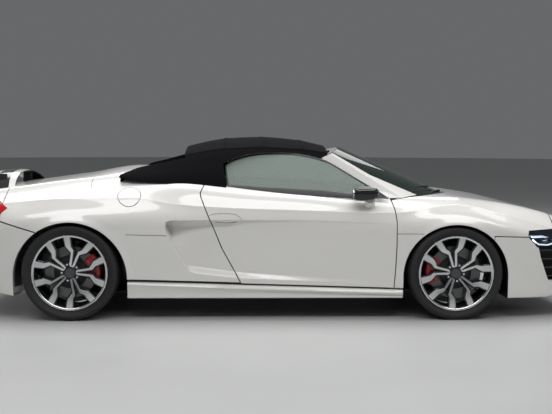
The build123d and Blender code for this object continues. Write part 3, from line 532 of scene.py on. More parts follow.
# ------------------------------------------------------------------ outlines
DOOR = [
    (-462, 1000), (-478, 930), (-505, 870), (-497, 836), (-450, 721), (-354, 489), (-222, 250),
    (832, 218), (843, 361), (849, 507), (849, 682), (838, 760), (815, 835), (806, 1000),
]
BONNET_SIDE = [(1100, 0), (1100, 545), (1230, 545), (1390, 630), (1600, 645), (1850, 605), (2020, 480),
               (2085, 300), (2110, 0)]
LID_SIDE = [(-640, 0), (-640, 440), (-700, 545), (-1100, 600), (-1450, 615), (-1665, 600), (-1665, 0)]
QUARTER = [(-218, 1200), (-218, 259), (-1010, 284), (-1010, 120), (-1613, 120), (-1613, 612), (-1861, 687),
           (-1816, 1200)]
FENDER = [(780, 1000), (780, 222), (905, 219), (1515, 219), (1515, 584), (1751, 576), (1764, 614),
          (1960, 619), (1960, 1000)]
HEADLAMP = [(1764, 614), (1960, 619), (2060, 606), (2060, 560), (1960, 506), (1834, 506), (1783, 565)]
FRONT_BUMPER = [(1520, 112), (1520, 577), (1757, 569), (1823, 498), (1967, 498), (1967, 800), (2400, 800),
                (2400, 186), (2070, 182), (1946, 159), (1848, 131), (1745, 123), (1643, 118)]


def whole(half):
    """Half outline in plan, closed with its mirror image."""
    return half + [(x, -y) for x, y in reversed(half) if y]


def scuttle_outline(radius):
    return [(SCUTTLE_CENTRE_X + radius * math.cos(a), radius * math.sin(a))
            for a in np.linspace(0, 2 * math.pi, 145)[:-1]]


# ------------------------------------------------------------------ body panels
FLAP_CENTRE, FLAP_RADIUS, FLAP_TILT = (-990, -840, 837), 77, 35


def flap_tool(radius):
    """Cylinder standing on the shoulder where the flap sits."""
    tilt = math.radians(90 - FLAP_TILT)
    axis = Vector((0, -math.cos(tilt), math.sin(tilt)))
    right = Vector((1, 0, 0))
    up = axis.cross(right)
    centre = Vector(FLAP_CENTRE)
    points = [tuple(centre + right * radius * math.cos(a) + up * radius * math.sin(a) + axis * h)
              for h in (-60, 60) for a in turn(64)]
    faces = [[k, (k + 1) % 64, 64 + (k + 1) % 64, 64 + k] for k in range(64)]
    faces += [list(range(63, -1, -1)), list(range(64, 128))]
    obj = mesh_object("flap_tool", points, faces, [], False)
    recalc_outward(obj)
    return obj


door = Panel("door_skin_right", -540, 880, 1, EDGE + 0.2, 7, 0.026, to_plane(762))
door.keep(grown(DOOR, -SHUT_GAP / 2))
door.finish("door_right", "door_right", ("door_skin_left", "door_left", "door_left"))

quarter = Panel("rear_quarter_skin_right", -1900, -200, 1, EDGE + 0.3, 8, 0.024, to_plane(612))
quarter.keep(QUARTER).drop(grown(DOOR, SHUT_GAP / 2)).drop(arch_outline(REAR_ARCH))
quarter.drop(grown(whole(LID_SIDE), SHUT_GAP), "z", 600, 1300)
quarter.drop([(-1008, 591), (-728, 582), (-728, 586), (-1008, 595)], "y", -WALL_Y, -890)
quarter.drop([(-1264, 897), (-1260, 897), (-1260, 1100), (-1264, 1100)], "y", -WALL_Y, -640)
left_quarter = mirror_copy(quarter.obj, "rear_quarter_skin_left")
quarter.line_wells(left_quarter)
quarter.shade(left_quarter, quarter.skin * FLIP_Y, quarter.skin_normals * FLIP_Y)
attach(left_quarter, "chassis")
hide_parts("rear_quarter_left")
cut(quarter.obj, flap_tool(FLAP_RADIUS + 4))
quarter.finish("chassis", "rear_quarter_right")
flap = Panel("fuel_flap_skin", -1090, -890, 3.2, EDGE + 0.1, 8, 0.05, 12, depth=-1.0)
cut(flap.obj, flap_tool(FLAP_RADIUS), "INTERSECT")
flap.finish("chassis", "fuel_flap")

fender = Panel("front_fender_skin_right", 760, 1990, 1, EDGE + 0.4, 8, 0.028, to_plane(562))
fender.keep(FENDER).drop(grown(DOOR, SHUT_GAP / 2)).drop(arch_outline(FRONT_ARCH))
fender.drop(arch_outline(FRONT_ARCH, 19)[1:-1], "y", -885, 0)
fender.drop(grown(whole(BONNET_SIDE), SHUT_GAP / 2), "z", 400, 1200)
fender.drop(scuttle_outline(SCUTTLE_RADIUS), "z", 600, 1200)
fender.drop(grown(HEADLAMP, 3))
fender.drop([(840, 593.5), (1032, 593.5), (1032, 597.5), (840, 597.5)], "y", -WALL_Y, -888)
fender.finish("chassis", "front_fender_right", ("front_fender_skin_left", "chassis", "front_fender_left"))

bonnet = Panel("bonnet_skin", 1090, 2150, EDGE - 0.6, CROWN, 14, 0.05, 24, both=True)
bonnet.keep(whole(BONNET_SIDE), "z", 400, 1200).drop(scuttle_outline(SCUTTLE_RADIUS), "z", 600, 1200)
bonnet.finish("bonnet", "bonnet")

lid = Panel("deck_lid_skin", -1690, -620, EDGE - 0.6, CROWN, 14, 0.05, 24, both=True)
lid.keep(whole(LID_SIDE), "z", 600, 1300)
lid.finish("deck_lid", "deck_lid")

# ------------------------------------------------------------------ wheels
WHEELS = {
    # x, z, half track, radius, width, disc radius, first spoke angle, caliper side
    "front": (FRONT_AXLE_X, 323.5, 819.0, 323.5, 235, 182, 28.3, -1),
    "rear": (REAR_AXLE_X, 330.0, 797.5, 330.0, 295, 178, 1.5, 1),
}
FLANGE_RADIUS, BEAD_RADIUS = 259, 241
# one arm of a pair beside the pair's axis: (along, across) of its inner and outer edge, hub to rim
ARM_INNER = [(47, 0), (50, 2.5), (62, 4), (110, 10), (156, 17), (176, 40), (212, 54), (248, 69)]
ARM_OUTER = [(39, 0), (41, 13), (54, 19.5), (94, 24.5), (134, 30), (164, 75), (200, 95), (237, 113)]
BOLT_CIRCLE, CAP_RADIUS = 57, 42


def revolve(name, profile, place, mats, segments=120, mat_of=None, closed=True, shift=None):
    """Turn a closed (y, r) profile about the wheel axis."""
    angles = turn(segments)
    points = []
    for k, a in enumerate(angles):
        for j, (y, r) in enumerate(profile):
            rr = r - (shift(k, y, r) if shift else 0)
            points.append((place[0] + rr * math.cos(a), place[1] + y, place[2] + rr * math.sin(a)))
    n = len(profile)
    faces, index = [], []
    for k in range(segments):
        k2 = (k + 1) % segments
        for j in range(n if closed else n - 1):
            j2 = (j + 1) % n
            faces.append([k * n + j, k * n + j2, k2 * n + j2, k2 * n + j])
            index.append(mat_of(j) if mat_of else 0)
    obj = mesh_object(name, points, faces, mats)
    obj.data.polygons.foreach_set("material_index", index)
    recalc_outward(obj)
    return obj


def sharpen(obj, degrees=32):
    """Flat-looking corners where faces meet at more than this angle."""
    obj.data.set_sharp_from_angle(angle=math.radians(degrees))


def tyre_profile(radius, width):
    """Outer outline with sidewall ribs and four tread grooves, then the inner wall back."""
    right = [(0.40, 243 / radius), (0.405, 262 / radius), (0.44, 0.835), (0.475, 0.87), (0.494, 0.905),
             (0.497, 0.912), (0.492, 0.925), (0.486, 0.95), (0.47, 0.970), (0.44, 0.985), (0.40, 0.994),
             (0.36, 0.998)]
    outer = [(y * width, r * radius) for y, r in right]
    for centre in (0.27, 0.09):
        y = centre * width
        outer += [(y + 5, radius), (y + 3.6, radius - 6), (y - 3.6, radius - 6), (y - 5, radius)]
    outer += [(0, radius)]
    outer += [(-y, r) for y, r in reversed(outer[:-1])]
    inner = [(-0.38 * width, 250), (-0.42 * width, 0.88 * radius), (-0.34 * width, radius - 18),
             (0.34 * width, radius - 18), (0.42 * width, 0.88 * radius), (0.38 * width, 250)]
    return outer + inner


def tyre_grooves(width):
    """Slanted cross grooves over the shoulders of the tread."""
    def shift(k, y, r):
        shoulder = 0.28 * width < abs(y) < 0.45 * width
        return 5.0 if shoulder and (k + int(abs(y) / 14)) % 6 == 0 else 0.0
    return shift


def ribbon(inner, outer, level, depth, bevel):
    """Solid strip between two rails: machined face on top, dark walls below it."""
    points, faces, index = [], [], []
    n = len(inner)
    for (u0, v0), (u1, v1) in zip(inner, outer):
        a, b = np.array([u0, v0]), np.array([u1, v1])
        across = (b - a) / max(np.linalg.norm(b - a), 1e-6)
        for p, s in ((a, 1), (b, -1)):
            top = p + across * s * bevel
            points.append((top[0], top[1], level(np.hypot(*p))))
            points.append((p[0], p[1], level(np.hypot(*p)) - bevel))
            points.append((p[0], p[1], level(np.hypot(*p)) - depth))
    for i in range(n - 1):
        a, b = 6 * i, 6 * (i + 1)
        quads = [([a, a + 3, b + 3, b], 0), ([a + 1, a, b, b + 1], 0), ([a + 3, a + 4, b + 4, b + 3], 0),
                 ([a + 2, a + 1, b + 1, b + 2], 1), ([a + 4, a + 5, b + 5, b + 4], 1),
                 ([a + 5, a + 2, b + 2, b + 5], 1)]
        for quad, m in quads:
            faces.append(quad)
            index.append(m)
    for a, flip in ((0, False), (6 * (n - 1), True)):
        cap = [a, a + 1, a + 2, a + 5, a + 4, a + 3]
        faces.append(cap[::-1] if flip else cap)
        index.append(1)
    return points, faces, index


def sector(name, place, r0, r1, a0, a1, y0, y1, mat, steps=28, bevel=7):
    """Caliper body: an arc block with rounded edges and a raised centre rib."""
    ring = [(r0 + bevel, y1), (r0, y1 - bevel), (r0, y0 + bevel), (r0 + bevel, y0), (r1 - bevel, y0),
            (r1, y0 + bevel), (r1, y1 - bevel), (r1 - bevel, y1),
            (r0 + 0.66 * (r1 - r0), y1), (r0 + 0.6 * (r1 - r0), y1 - 4), (r0 + 0.4 * (r1 - r0), y1 - 4),
            (r0 + 0.34 * (r1 - r0), y1)]
    points = []
    for i in range(steps + 1):
        u = i / steps
        a = math.radians(a0 + (a1 - a0) * u)
        ease = min(1.0, 0.90 + min(u, 1 - u) * 1.6)
        mid_r, mid_y = (r0 + r1) / 2, (y0 + y1) / 2
        for r, y in ring:
            r = mid_r + (r - mid_r) * ease
            y = mid_y + (y - mid_y) * ease
            points.append((place[0] + r * math.cos(a), place[1] + y, place[2] + r * math.sin(a)))
    n = len(ring)
    faces = [[i * n + j, i * n + (j + 1) % n, (i + 1) * n + (j + 1) % n, (i + 1) * n + j]
             for i in range(steps) for j in range(n)]
    faces += [list(range(n)), [steps * n + j for j in range(n - 1, -1, -1)]]
    obj = mesh_object(name, points, faces, [mat])
    recalc_outward(obj)
    sharpen(obj)
    return obj


def pair_of(obj, stem, body, node):
    """Left piece and its mirror image, each on its own body and in place of its own node."""
    for side, piece in (("left", obj), ("right", mirror_copy(obj, f"{stem}_right"))):
        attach(piece, body.format(side))
        if node:
            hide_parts(node.format(side))


def build_wheel(axle):
    x, z, half_track, radius, width, disc_radius, first, caliper_side = WHEELS[axle]
    place = (x, half_track, z)
    body = f"wheel_{axle}_{{}}"
    segments = 240
    tyre = revolve(f"{axle}_tyre_left", tyre_profile(radius, width), place, [RUBBER], segments,
                   shift=tyre_grooves(width))
    sharpen(tyre, 40)
    pair_of(tyre, f"{axle}_tyre", body, f"tyre_{axle}_{{}}")

    lip = 0.40 * width + 11
    back = -lip
    barrel = [(lip, FLANGE_RADIUS), (lip + 1, 256), (lip, 249), (lip - 5, 243), (lip - 22, 236),
              (lip - 60, 229), (back + 30, 231), (back + 4, 238), (back, 250), (back, FLANGE_RADIUS),
              (back + 9, FLANGE_RADIUS), (back + 12, BEAD_RADIUS), (lip - 12, BEAD_RADIUS),
              (lip - 9, FLANGE_RADIUS)]
    rim = revolve(f"{axle}_rim_left", barrel, place, [ALLOY, GLOSS_BLACK], 144,
                  mat_of=lambda j: 0 if j in (0, 1, 2, 13) else 1)

    def face_level(r):
        return lip - 3 - 24 * (1 - min(1.0, r / 244)) ** 1.4

    points, faces, index = [], [], []

    def add(block, turn, mirror, lower=0.0):
        base = len(points)
        p, f, m = block
        c, s = math.cos(math.radians(turn)), math.sin(math.radians(turn))
        for u, v, level in p:
            v = -v if mirror else v
            points.append((x + u * c - v * s, half_track + level - lower, z + u * s + v * c))
        for quad, k in zip(f, m):
            faces.append([base + q for q in (reversed(quad) if mirror else quad)])
            index.append(k)

    arm = ribbon(ARM_INNER, ARM_OUTER, face_level, 14, 1.5)
    wide_inner = [(u + 2, max(0.0, v - 9)) for u, v in ARM_INNER]
    wide_outer = [(max(30, u - 5), v + 7) for u, v in ARM_OUTER]
    backing = ribbon(wide_inner, wide_outer, face_level, 34, 3)
    backing = (backing[0], backing[1], [1] * len(backing[2]))
    for k in range(5):
        for mirror in (False, True):
            add(arm, first + 72 * k, mirror)
            add(backing, first + 72 * k, mirror, 9.0)
    spokes = mesh_object(f"{axle}_spokes", points, faces, [ALLOY, GLOSS_BLACK])
    spokes.data.polygons.foreach_set("material_index", index)
    recalc_outward(spokes)

    hub_face = face_level(60) - 8
    hub = revolve(f"{axle}_hub", [(hub_face - 34, 30), (hub_face - 34, 66), (hub_face - 6, 72),
                                  (hub_face, 69), (hub_face - 2, 46), (hub_face + 6, CAP_RADIUS),
                                  (hub_face + 9, CAP_RADIUS - 4), (hub_face + 10, 20), (hub_face + 10, 0.5),
                                  (hub_face - 10, 0.5), (hub_face - 10, 30)], place, [GLOSS_BLACK], 60)
    parts = [rim, spokes, hub]
    for k in range(5):
        a = math.radians(first + 36 + 72 * k)
        spot = (x + BOLT_CIRCLE * math.cos(a), half_track, z + BOLT_CIRCLE * math.sin(a))
        bolt = revolve(f"{axle}_bolt", [(hub_face - 6, 9), (hub_face + 1, 9), (hub_face + 5, 6.5),
                                        (hub_face + 5, 3.5), (hub_face, 3), (hub_face, 0.3),
                                        (hub_face - 6, 0.3)], spot, [CHROME], 18)
        parts.append(bolt)
    stem = math.radians(first + 108)
    spot = (x + 226 * math.cos(stem), half_track, z + 226 * math.sin(stem))
    parts.append(revolve(f"{axle}_valve", [(lip - 40, 3.5), (lip - 22, 3.5), (lip - 16, 4.2), (lip - 12, 3),
                                           (lip - 12, 0.3), (lip - 40, 0.3)], spot, [BLACK], 14))
    whole_rim = join(parts, f"{axle}_rim_left")
    sharpen(whole_rim)
    pair_of(whole_rim, f"{axle}_rim", body, f"rim_{axle}_{{}}")

    hub_back = lip - 66
    face = hub_back - 0.3
    disc_profile = [(face - 32, 112), (face - 32, disc_radius), (face - 20, disc_radius),
                    (face - 20, disc_radius - 6), (face - 12, disc_radius - 6), (face - 12, disc_radius),
                    (face, disc_radius), (face, 116), (face - 6, 110), (face - 6, 100), (face + 4, 92),
                    (face + 4, 60), (face - 8, 56), (face - 8, 32), (face - 30, 32), (face - 30, 88),
                    (face - 28, 104)]
    disc = revolve(f"{axle}_disc_left", disc_profile, place, [STEEL, DISC_HAT], 96,
                   mat_of=lambda j: 1 if 7 <= j <= 15 else 0)
    sharpen(disc)
    pair_of(disc, f"{axle}_disc", body, f"brake_disc_{axle}_{{}}")

    low_angle, high_angle = (143, 206) if caliper_side < 0 else (-22, 41)
    caliper = sector(f"{axle}_caliper_left", place, 122, 203, low_angle, high_angle, hub_back - 66,
                     hub_back + 8, RED)
    if axle == "front":
        pair_of(caliper, "front_caliper", "knuckle_{}", "front_caliper_{}")
    else:
        other = mirror_copy(caliper, "rear_caliper_right")
        both = join([caliper, other], "rear_caliper_pair")
        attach(both, "chassis")
        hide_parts("rear_calipers")


def join(objects, name):
    """Several meshes made into one piece."""
    bm = bmesh.new()
    mats = []
    for obj in objects:
        start = len(bm.faces)
        bm.from_mesh(obj.data)
        bm.faces.ensure_lookup_table()
        table = []
        for mat in obj.data.materials:
            if mat not in mats:
                mats.append(mat)
            table.append(mats.index(mat))
        for f in bm.faces[start:]:
            f.material_index = table[f.material_index] if table else 0
    mesh = bpy.data.meshes.new(name)
    bm.to_mesh(mesh)
    bm.free()
    for mat in mats:
        mesh.materials.append(mat)
    for obj in objects:
        bpy.data.objects.remove(obj)
    made = bpy.data.objects.new(name, mesh)
    bpy.context.scene.collection.objects.link(made)
    return made


build_wheel("front")
build_wheel("rear")

# ------------------------------------------------------------------ front bumper, lamps and intakes
INTAKE = [(1828, 512), (1850, 431), (1878, 359), (1900, 302), (1916, 266), (2130, 262), (2130, 512),
          (1975, 512)]
INTAKE_INNER_Y = 430
NOSE_GRILLE = [(-330, 250), (-365, 340), (-300, 470), (300, 470), (365, 340), (330, 250)]

bumper = Panel("front_bumper_skin", 1500, 2216, 0.0, CROWN, 14, 0.06, 30, both=True, cap=1)
space = prism("front_space", FRONT_BUMPER, -WALL_Y, WALL_Y, "y")
for outline in (arch_outline(FRONT_ARCH), grown(HEADLAMP, 3)):
    cut(space, prism("drop", outline, -WALL_Y - 1, WALL_Y + 1, "y"))
cut(space, prism("drop", grown(whole(BONNET_SIDE), SHUT_GAP / 2), 400, 1200, "z"))
for side in (-1, 1):
    cut(space, prism("drop", INTAKE, *sorted((side * INTAKE_INNER_Y, side * (WALL_Y + 1))), "y"))
cut(space, prism("drop", NOSE_GRILLE, 2100, 2450, "x"))
cut(bumper.obj, space, "INTERSECT", True)
bumper.finish("chassis", "front_bumper")


def strip(name, outline, depth, thick, mat):
    """Patch of the body surface let in by a depth and cut to an outline in side view, right side only."""
    xs = [x for x, _ in outline]
    patch = Panel(name, min(xs) - 25, max(xs) + 25, 1.0, EDGE + 0.6, 8, 0.05, thick, depth=depth)
    patch.keep(outline, "y", -WALL_Y, 0)
    patch.obj.data.materials.clear()
    patch.obj.data.materials.append(mat)
    patch.shade(patch.obj, patch.skin, patch.skin_normals)
    patch.obj.data.polygons.foreach_set("material_index", [0] * len(patch.obj.data.polygons))
    return patch.obj


def both_of(parts, name, body, *replaced):
    """Right-hand parts and their mirror images as one piece."""
    right = join(parts, f"{name}_half")
    made = join([right, mirror_copy(right, f"{name}_other")], name)
    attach(made, body)
    if replaced:
        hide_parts(*replaced)
    return made


def bar(name, a, b, wide, tall, mat, round_steps=8):
    """Slender rounded rod between two points."""
    a, b = Vector(a), Vector(b)
    along = (b - a).normalized()
    side = along.cross(Vector((0, 0, 1)))
    side = side.normalized() if side.length > 0.01 else Vector((1, 0, 0))
    up = side.cross(along)
    points, faces = [], []
    for end, s in ((a, 0.6), (a + along * 0.5, 1.0), (b - along * 0.5, 1.0), (b, 0.6)):
        for k in range(round_steps):
            t = 2 * math.pi * k / round_steps
            sideways, upwards = side * (wide / 2 * s * math.cos(t)), up * (tall / 2 * s * math.sin(t))
            points.append(tuple(end + sideways + upwards))
    n = round_steps
    for i in range(3):
        for k in range(n):
            faces.append([i * n + k, i * n + (k + 1) % n, (i + 1) * n + (k + 1) % n, (i + 1) * n + k])
    faces += [list(range(n - 1, -1, -1)), [3 * n + k for k in range(n)]]
    obj = mesh_object(name, points, faces, [mat])
    recalc_outward(obj)
    return obj


def surface_y(x, z):
    """Half width of the body at a station and height on its flank."""
    t = np.linspace(1, CREST + 0.8, 120)
    _, y, zz = surface(np.array([float(x)]), t, False)
    return float(np.interp(z, zz[0], y[0]))


def back_plate(name, outline, z, depth, low_z, high_z, mat):
    """Upright plate that follows the flank at a depth behind an opening."""
    xs = np.linspace(min(x for x, _ in outline) - 20, max(x for x, _ in outline) + 20, 12)
    line = [(float(x), -surface_y(x, z) + depth) for x in xs]
    plate = prism(name, line + [(x, y + 8) for x, y in reversed(line)], low_z, high_z, "z")
    plate.data.materials.append(mat)
    return plate


LED_LINE = [(1781, 577), (2000, 581), (2000, 568), (1788, 564)]
LED_LOW = [(1796, 554), (1839, 523), (1900, 518), (1956, 530), (1956, 522), (1900, 510), (1836, 515),
           (1790, 550)]
parts = [back_plate("lamp_back", HEADLAMP, 560, 52, 500, 604, GLOSS_BLACK),
         strip("lamp_cover", grown(HEADLAMP, -1), 0.5, 5, LENS),
         strip("led_line", LED_LINE, 16, 8, LED), strip("led_low", LED_LOW, 16, 8, LED)]
for x, z in ((1885, 558), (1955, 562)):
    spot = (x, -surface_y(x, z) + 40, z)
    parts.append(revolve("projector", [(6, 3), (-4, 17), (-10, 19), (-10, 22), (0, 23), (14, 12), (16, 3)],
                         spot, [CHROME], 28))
both_of(parts, "headlamp_pair", "chassis", "headlamps")

parts = [back_plate("intake_back", INTAKE, 380, 80, 236, 536, LINER)]
for row in range(4):
    z = 294 + 61 * row
    parts.append(strip("slat", [(1800, z), (2130, z - 4), (2130, z + 3), (1800, z + 7)], 14, 34, GLOSS_BLACK))
half_set = join(parts, "intake_half")
GRILLE_X, GRILLE_LOW_Z, GRILLE_HIGH_Z = 2192, 252, 468
GRILLE_HEIGHTS, GRILLE_HALVES = [250, 340, 470], [328, 363, 302]
grille = []
for z in range(GRILLE_LOW_Z + 6, GRILLE_HIGH_Z + 2, 16):
    reach = np.interp(z, GRILLE_HEIGHTS, GRILLE_HALVES)
    grille.append(bar("grille_bar", (GRILLE_X, -reach, z), (GRILLE_X, reach, z), 16, 6, GLOSS_BLACK))
for y in range(-280, 281, 40):
    post_x = GRILLE_X - 6
    grille.append(bar("grille_post", (post_x, y, GRILLE_LOW_Z), (post_x, y, GRILLE_HIGH_Z), 10, 5, BLACK))
trim = join([half_set, mirror_copy(half_set, "intake_other")] + grille, "front_grille_set")
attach(trim, "chassis")
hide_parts("front_grilles")

# ------------------------------------------------------------------ wheel liners
LINER_THICKNESS = 4
LINER_RADIUS, LINER_SPAN_Y, LINER_LOW_Z = 385, (600, 886), 150


def wheel_liner(axle_x, centre_z, radius, inner_y, outer_y, low_z):
    """Arched shell between a wheel and the body, with both ends run down to a height."""
    rows = []
    for grow in (0, LINER_THICKNESS):
        r = radius + grow
        line = [(axle_x + r, low_z)] + [(axle_x + r * math.cos(a), centre_z + r * math.sin(a))
                                        for a in np.linspace(0, math.pi, 40)] + [(axle_x - r, low_z)]
        rows.append(line)
    outline = rows[0] + rows[1][::-1]
    liner = prism("liner", outline, -outer_y, -inner_y, "y")
    liner.data.materials.append(LINER)
    return liner


liner = wheel_liner(FRONT_AXLE_X, FRONT_ARCH[1], LINER_RADIUS, *LINER_SPAN_Y, LINER_LOW_Z)
both_of([liner], "wheel_liners_front", "chassis")

# ------------------------------------------------------------------ sills
SILL_TOP = [(-1010, 271), (-222, 243), (832, 211), (905, 208)]
SILL_REAR_X, SILL_FRONT_X = -1002, 893


def sweep(name, rows, mats, closed_ends=True, mat_of=None):
    """Closed outlines, one per row, joined into a skin."""
    n = len(rows[0])
    points = [p for row in rows for p in row]
    faces, index = [], []
    for i in range(len(rows) - 1):
        for j in range(n):
            faces.append([i * n + j, i * n + (j + 1) % n, (i + 1) * n + (j + 1) % n, (i + 1) * n + j])
            index.append(mat_of(j) if mat_of else 0)
    if closed_ends:
        faces += [list(range(n - 1, -1, -1)), [(len(rows) - 1) * n + j for j in range(n)]]
        index += [0, 0]
    obj = mesh_object(name, points, faces, mats)
    obj.data.polygons.foreach_set("material_index", index)
    recalc_outward(obj)
    return obj


rows = []
for x in np.linspace(SILL_REAR_X, SILL_FRONT_X, 96):
    top = float(np.interp(x, [p[0] for p in SILL_TOP], [p[1] for p in SILL_TOP]))
    blade = 6 * math.sin(math.pi * (x - SILL_REAR_X) / (SILL_FRONT_X - SILL_REAR_X))
    outline = [(782, top - 2), (884, top - 1), (893, top - 5), (901 + blade, top - 16),
               (905 + blade, top - 26), (900 + blade / 2, top - 38), (893, 184), (892, 168), (896, 158),
               (893, 151), (872, 146), (782, 146)]
    rows.append([(x, -y, z) for y, z in outline])
sill = sweep("sill_right", rows, [PAINT])
cut(sill, prism("arch", arch_outline(FRONT_ARCH), -WALL_Y, 0, "y"))
cut(sill, prism("arch", arch_outline(REAR_ARCH), -WALL_Y, 0, "y"))
sharpen(sill, 28)
both_of([sill], "side_sill_pair", "chassis", "side_sills")

# ------------------------------------------------------------------ side glass, seals and mirrors
GLASS_LOW, GLASS_HIGH = (793, 850), (560, 1170)


def glass_y(z):
    return GLASS_LOW[0] + (GLASS_HIGH[0] - GLASS_LOW[0]) * (z - GLASS_LOW[1]) / (GLASS_HIGH[1] - GLASS_LOW[1])


def seal(name, line, wide, out, mat, thick=10):
    """Rubber strip along a line in side view, lying on the glass plane."""
    pts = np.array(line, float)
    dense = []
    for a, b in zip(pts, pts[1:]):
        for u in np.linspace(0, 1, 7)[:-1]:
            dense.append(a + (b - a) * u)
    dense.append(pts[-1])
    dense = np.array(dense)
    smooth = dense.copy()
    for _ in range(3):
        smooth[1:-1] = (smooth[:-2] + 2 * smooth[1:-1] + smooth[2:]) / 4
    rows = []
    for i, p in enumerate(smooth):
        d = smooth[min(i + 1, len(smooth) - 1)] - smooth[max(i - 1, 0)]
        n = np.array([-d[1], d[0]]) / max(np.linalg.norm(d), 1e-6)
        w = wide(p[0]) if callable(wide) else wide
        row = []
        for s, o in ((0, 0.0), (0.12, 1.0), (0.5, 1.25), (0.88, 1.0), (1, 0.0), (1, -1.0), (0, -1.0)):
            q = p + n * w * s
            row.append((q[0], -(glass_y(q[1]) + out + o * thick / 2), q[1]))
        rows.append(row)
    return sweep(name, rows, [mat])


BELT = [(-322, 899), (-200, 889), (46, 861), (338, 846), (560, 838), (802, 830)]


def belt_width(x):
    return float(np.interp(x, [-322, -100, 46, 338, 520, 802], [24, 30, 40, 40, 26, 10]))


FRONT_EDGE = [(800, 836), (747, 874), (640, 936), (505, 1018), (385, 1089), (281, 1118), (174, 1137),
              (56, 1143), (-92, 1139), (-181, 1127), (-270, 1103), (-342, 1063), (-330, 980), (-318, 900)]
SAIL = [(540, 848), (640, 846), (800, 832), (742, 872), (662, 922), (612, 905)]


def mirror_shell(x0, x1, y_in, y_out, z0, z1, mat_top, mat_low, split):
    """Rounded housing: a squashed superellipsoid, pointed towards its outer front edge."""
    points, faces, index = [], [], []
    rows, cols = 22, 44
    for i in range(rows + 1):
        phi = math.pi * (i / rows - 0.5)
        for j in range(cols):
            t = 2 * math.pi * j / cols
            cx, sx = math.cos(t), math.sin(t)
            cp, sp = math.cos(phi), math.sin(phi)
            px = np.sign(cx) * abs(cx) ** 0.55 * abs(cp) ** 0.6
            py = np.sign(sx) * abs(sx) ** 0.7 * abs(cp) ** 0.6
            pz = np.sign(sp) * abs(sp) ** 0.75
            x = (x0 + x1) / 2 + px * (x1 - x0) / 2
            lean = (x - x0) / (x1 - x0)
            y = (y_in + y_out) / 2 + py * (y_out - y_in) / 2 * (1 - 0.18 * lean)
            z = (z0 + z1) / 2 + pz * (z1 - z0) / 2 * (1 - 0.22 * lean) + 6 * lean
            points.append((x, -y, z))
    for i in range(rows):
        for j in range(cols):
            k = (j + 1) % cols
            faces.append([i * cols + j, i * cols + k, (i + 1) * cols + k, (i + 1) * cols + j])
            mid = points[i * cols + j][2]
            index.append(1 if mid < split else 0)
    obj = mesh_object("housing", points, faces, [mat_top, mat_low])
    obj.data.polygons.foreach_set("material_index", index)
    recalc_outward(obj)
    return obj


MIRROR_FACE_X, MIRROR_FACE_Y, MIRROR_FACE_Z = 543, 888, 874
FOOT_X, FOOT_Y, FOOT_Z = 662, 822, 782
housing = mirror_shell(543, 722, 822, 958, 817, 922, GLOSS_BLACK, BLACK, 862)
foot_rows = []
for u in np.linspace(0, 1, 14):
    y = FOOT_Y + 68 * u
    z = FOOT_Z + 42 * u ** 1.6
    w = 44 - 12 * u
    row = [(FOOT_X + w * math.cos(a), -(y - 6 * math.sin(a)), z + 17 * math.sin(a) - 6 * (1 - u))
           for a in turn(20)]
    foot_rows.append(row)
foot = sweep("mirror_foot", foot_rows, [PAINT])
face_rows = [[(x, -(MIRROR_FACE_Y + 52 * math.cos(a)), MIRROR_FACE_Z + 30 * math.sin(a)) for a in turn(28)]
             for x in (MIRROR_FACE_X, MIRROR_FACE_X + 5)]
mirror_glass = sweep("mirror_glass", face_rows, [CHROME])
parts = {"mirror": [housing, foot, mirror_glass],
         "seals": [seal("belt", BELT, belt_width, 1, BLACK), seal("edge", FRONT_EDGE, 11, 0, BLACK, 8)]}
sail_points = [(x, -(glass_y(z) + 3), z) for x, z in SAIL] + [(x, -(glass_y(z) - 3), z) for x, z in SAIL]
count = len(SAIL)
sail = mesh_object("sail", sail_points, [list(range(count)), list(range(2 * count - 1, count - 1, -1))]
                   + [[i, (i + 1) % count, count + (i + 1) % count, count + i] for i in range(count)],
                   [BLACK], False)
recalc_outward(sail)
parts["seals"].append(sail)
for label, group in parts.items():
    right = join(group, f"{label}_right")
    sharpen(right, 50)
    left = mirror_copy(right, f"{label}_left")
    for side, piece in (("right", right), ("left", left)):
        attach(piece, f"door_{side}")
        if label == "mirror":
            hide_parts(f"mirror_{side}")

# door grip: a lens-shaped blade over a thin black strip that is painted shade where the opening under the
# flap falls dark, with a thin black cord of painted shade along the recess line above it
GRIP_REAR_X, GRIP_LENGTH, GRIP_Z = -400, 145, 681
GRIP_SHADE_LINE = [(-439, 722), (-400, 732), (-330, 736), (-262, 728), (-235, 712), (-214, 690)]
grip_parts = []


def on_flank(x, z, out):
    """Point on the dressed right flank, moved outwards."""
    t = np.linspace(1, CREST + 0.9, 200)
    _, y, zz = surface(np.array([float(x)]), t)
    return (x, -(float(np.interp(z, zz[0], y[0])) + out), z)


# Thin black cord along the recess's upper edge, drawn just outside the flank: painted shade of the groove,
# not a trim part
line = [on_flank(x, z, 0.2) for x, z in GRIP_SHADE_LINE]
for a, b in zip(line, line[1:]):
    grip_parts.append(bar("grip_painted_shade_line", a, b, 2.0, 2.4, BLACK))
rows, slit_shade_rows = [], []
for u in np.linspace(0, 1, 24):
    x = GRIP_REAR_X + GRIP_LENGTH * u
    h = 1.5 + 7.5 * math.sin(math.pi * u) ** 0.7
    c = on_flank(x, GRIP_Z, 0)
    rows.append([(c[0], c[1] - (3 + 4 * math.sin(math.pi * u)) * math.cos(a) - 1, c[2] + h * math.sin(a))
                 for a in turn(16)])
    # Thin gloss black tube under the blade: painted shade of the opening beneath the flap
    d = on_flank(x, GRIP_Z - h - 2, 0)
    slit_shade_rows.append([(d[0], d[1] - 1.2 * math.cos(a), d[2] + 2.4 * math.sin(a))
                      for a in turn(10)])
grip_parts += [sweep("grip", rows, [PAINT]), sweep("slit_shade", slit_shade_rows, [GLOSS_BLACK])]
grip_right = join(grip_parts, "door_grip_right")
grip_left = mirror_copy(grip_right, "door_grip_left")
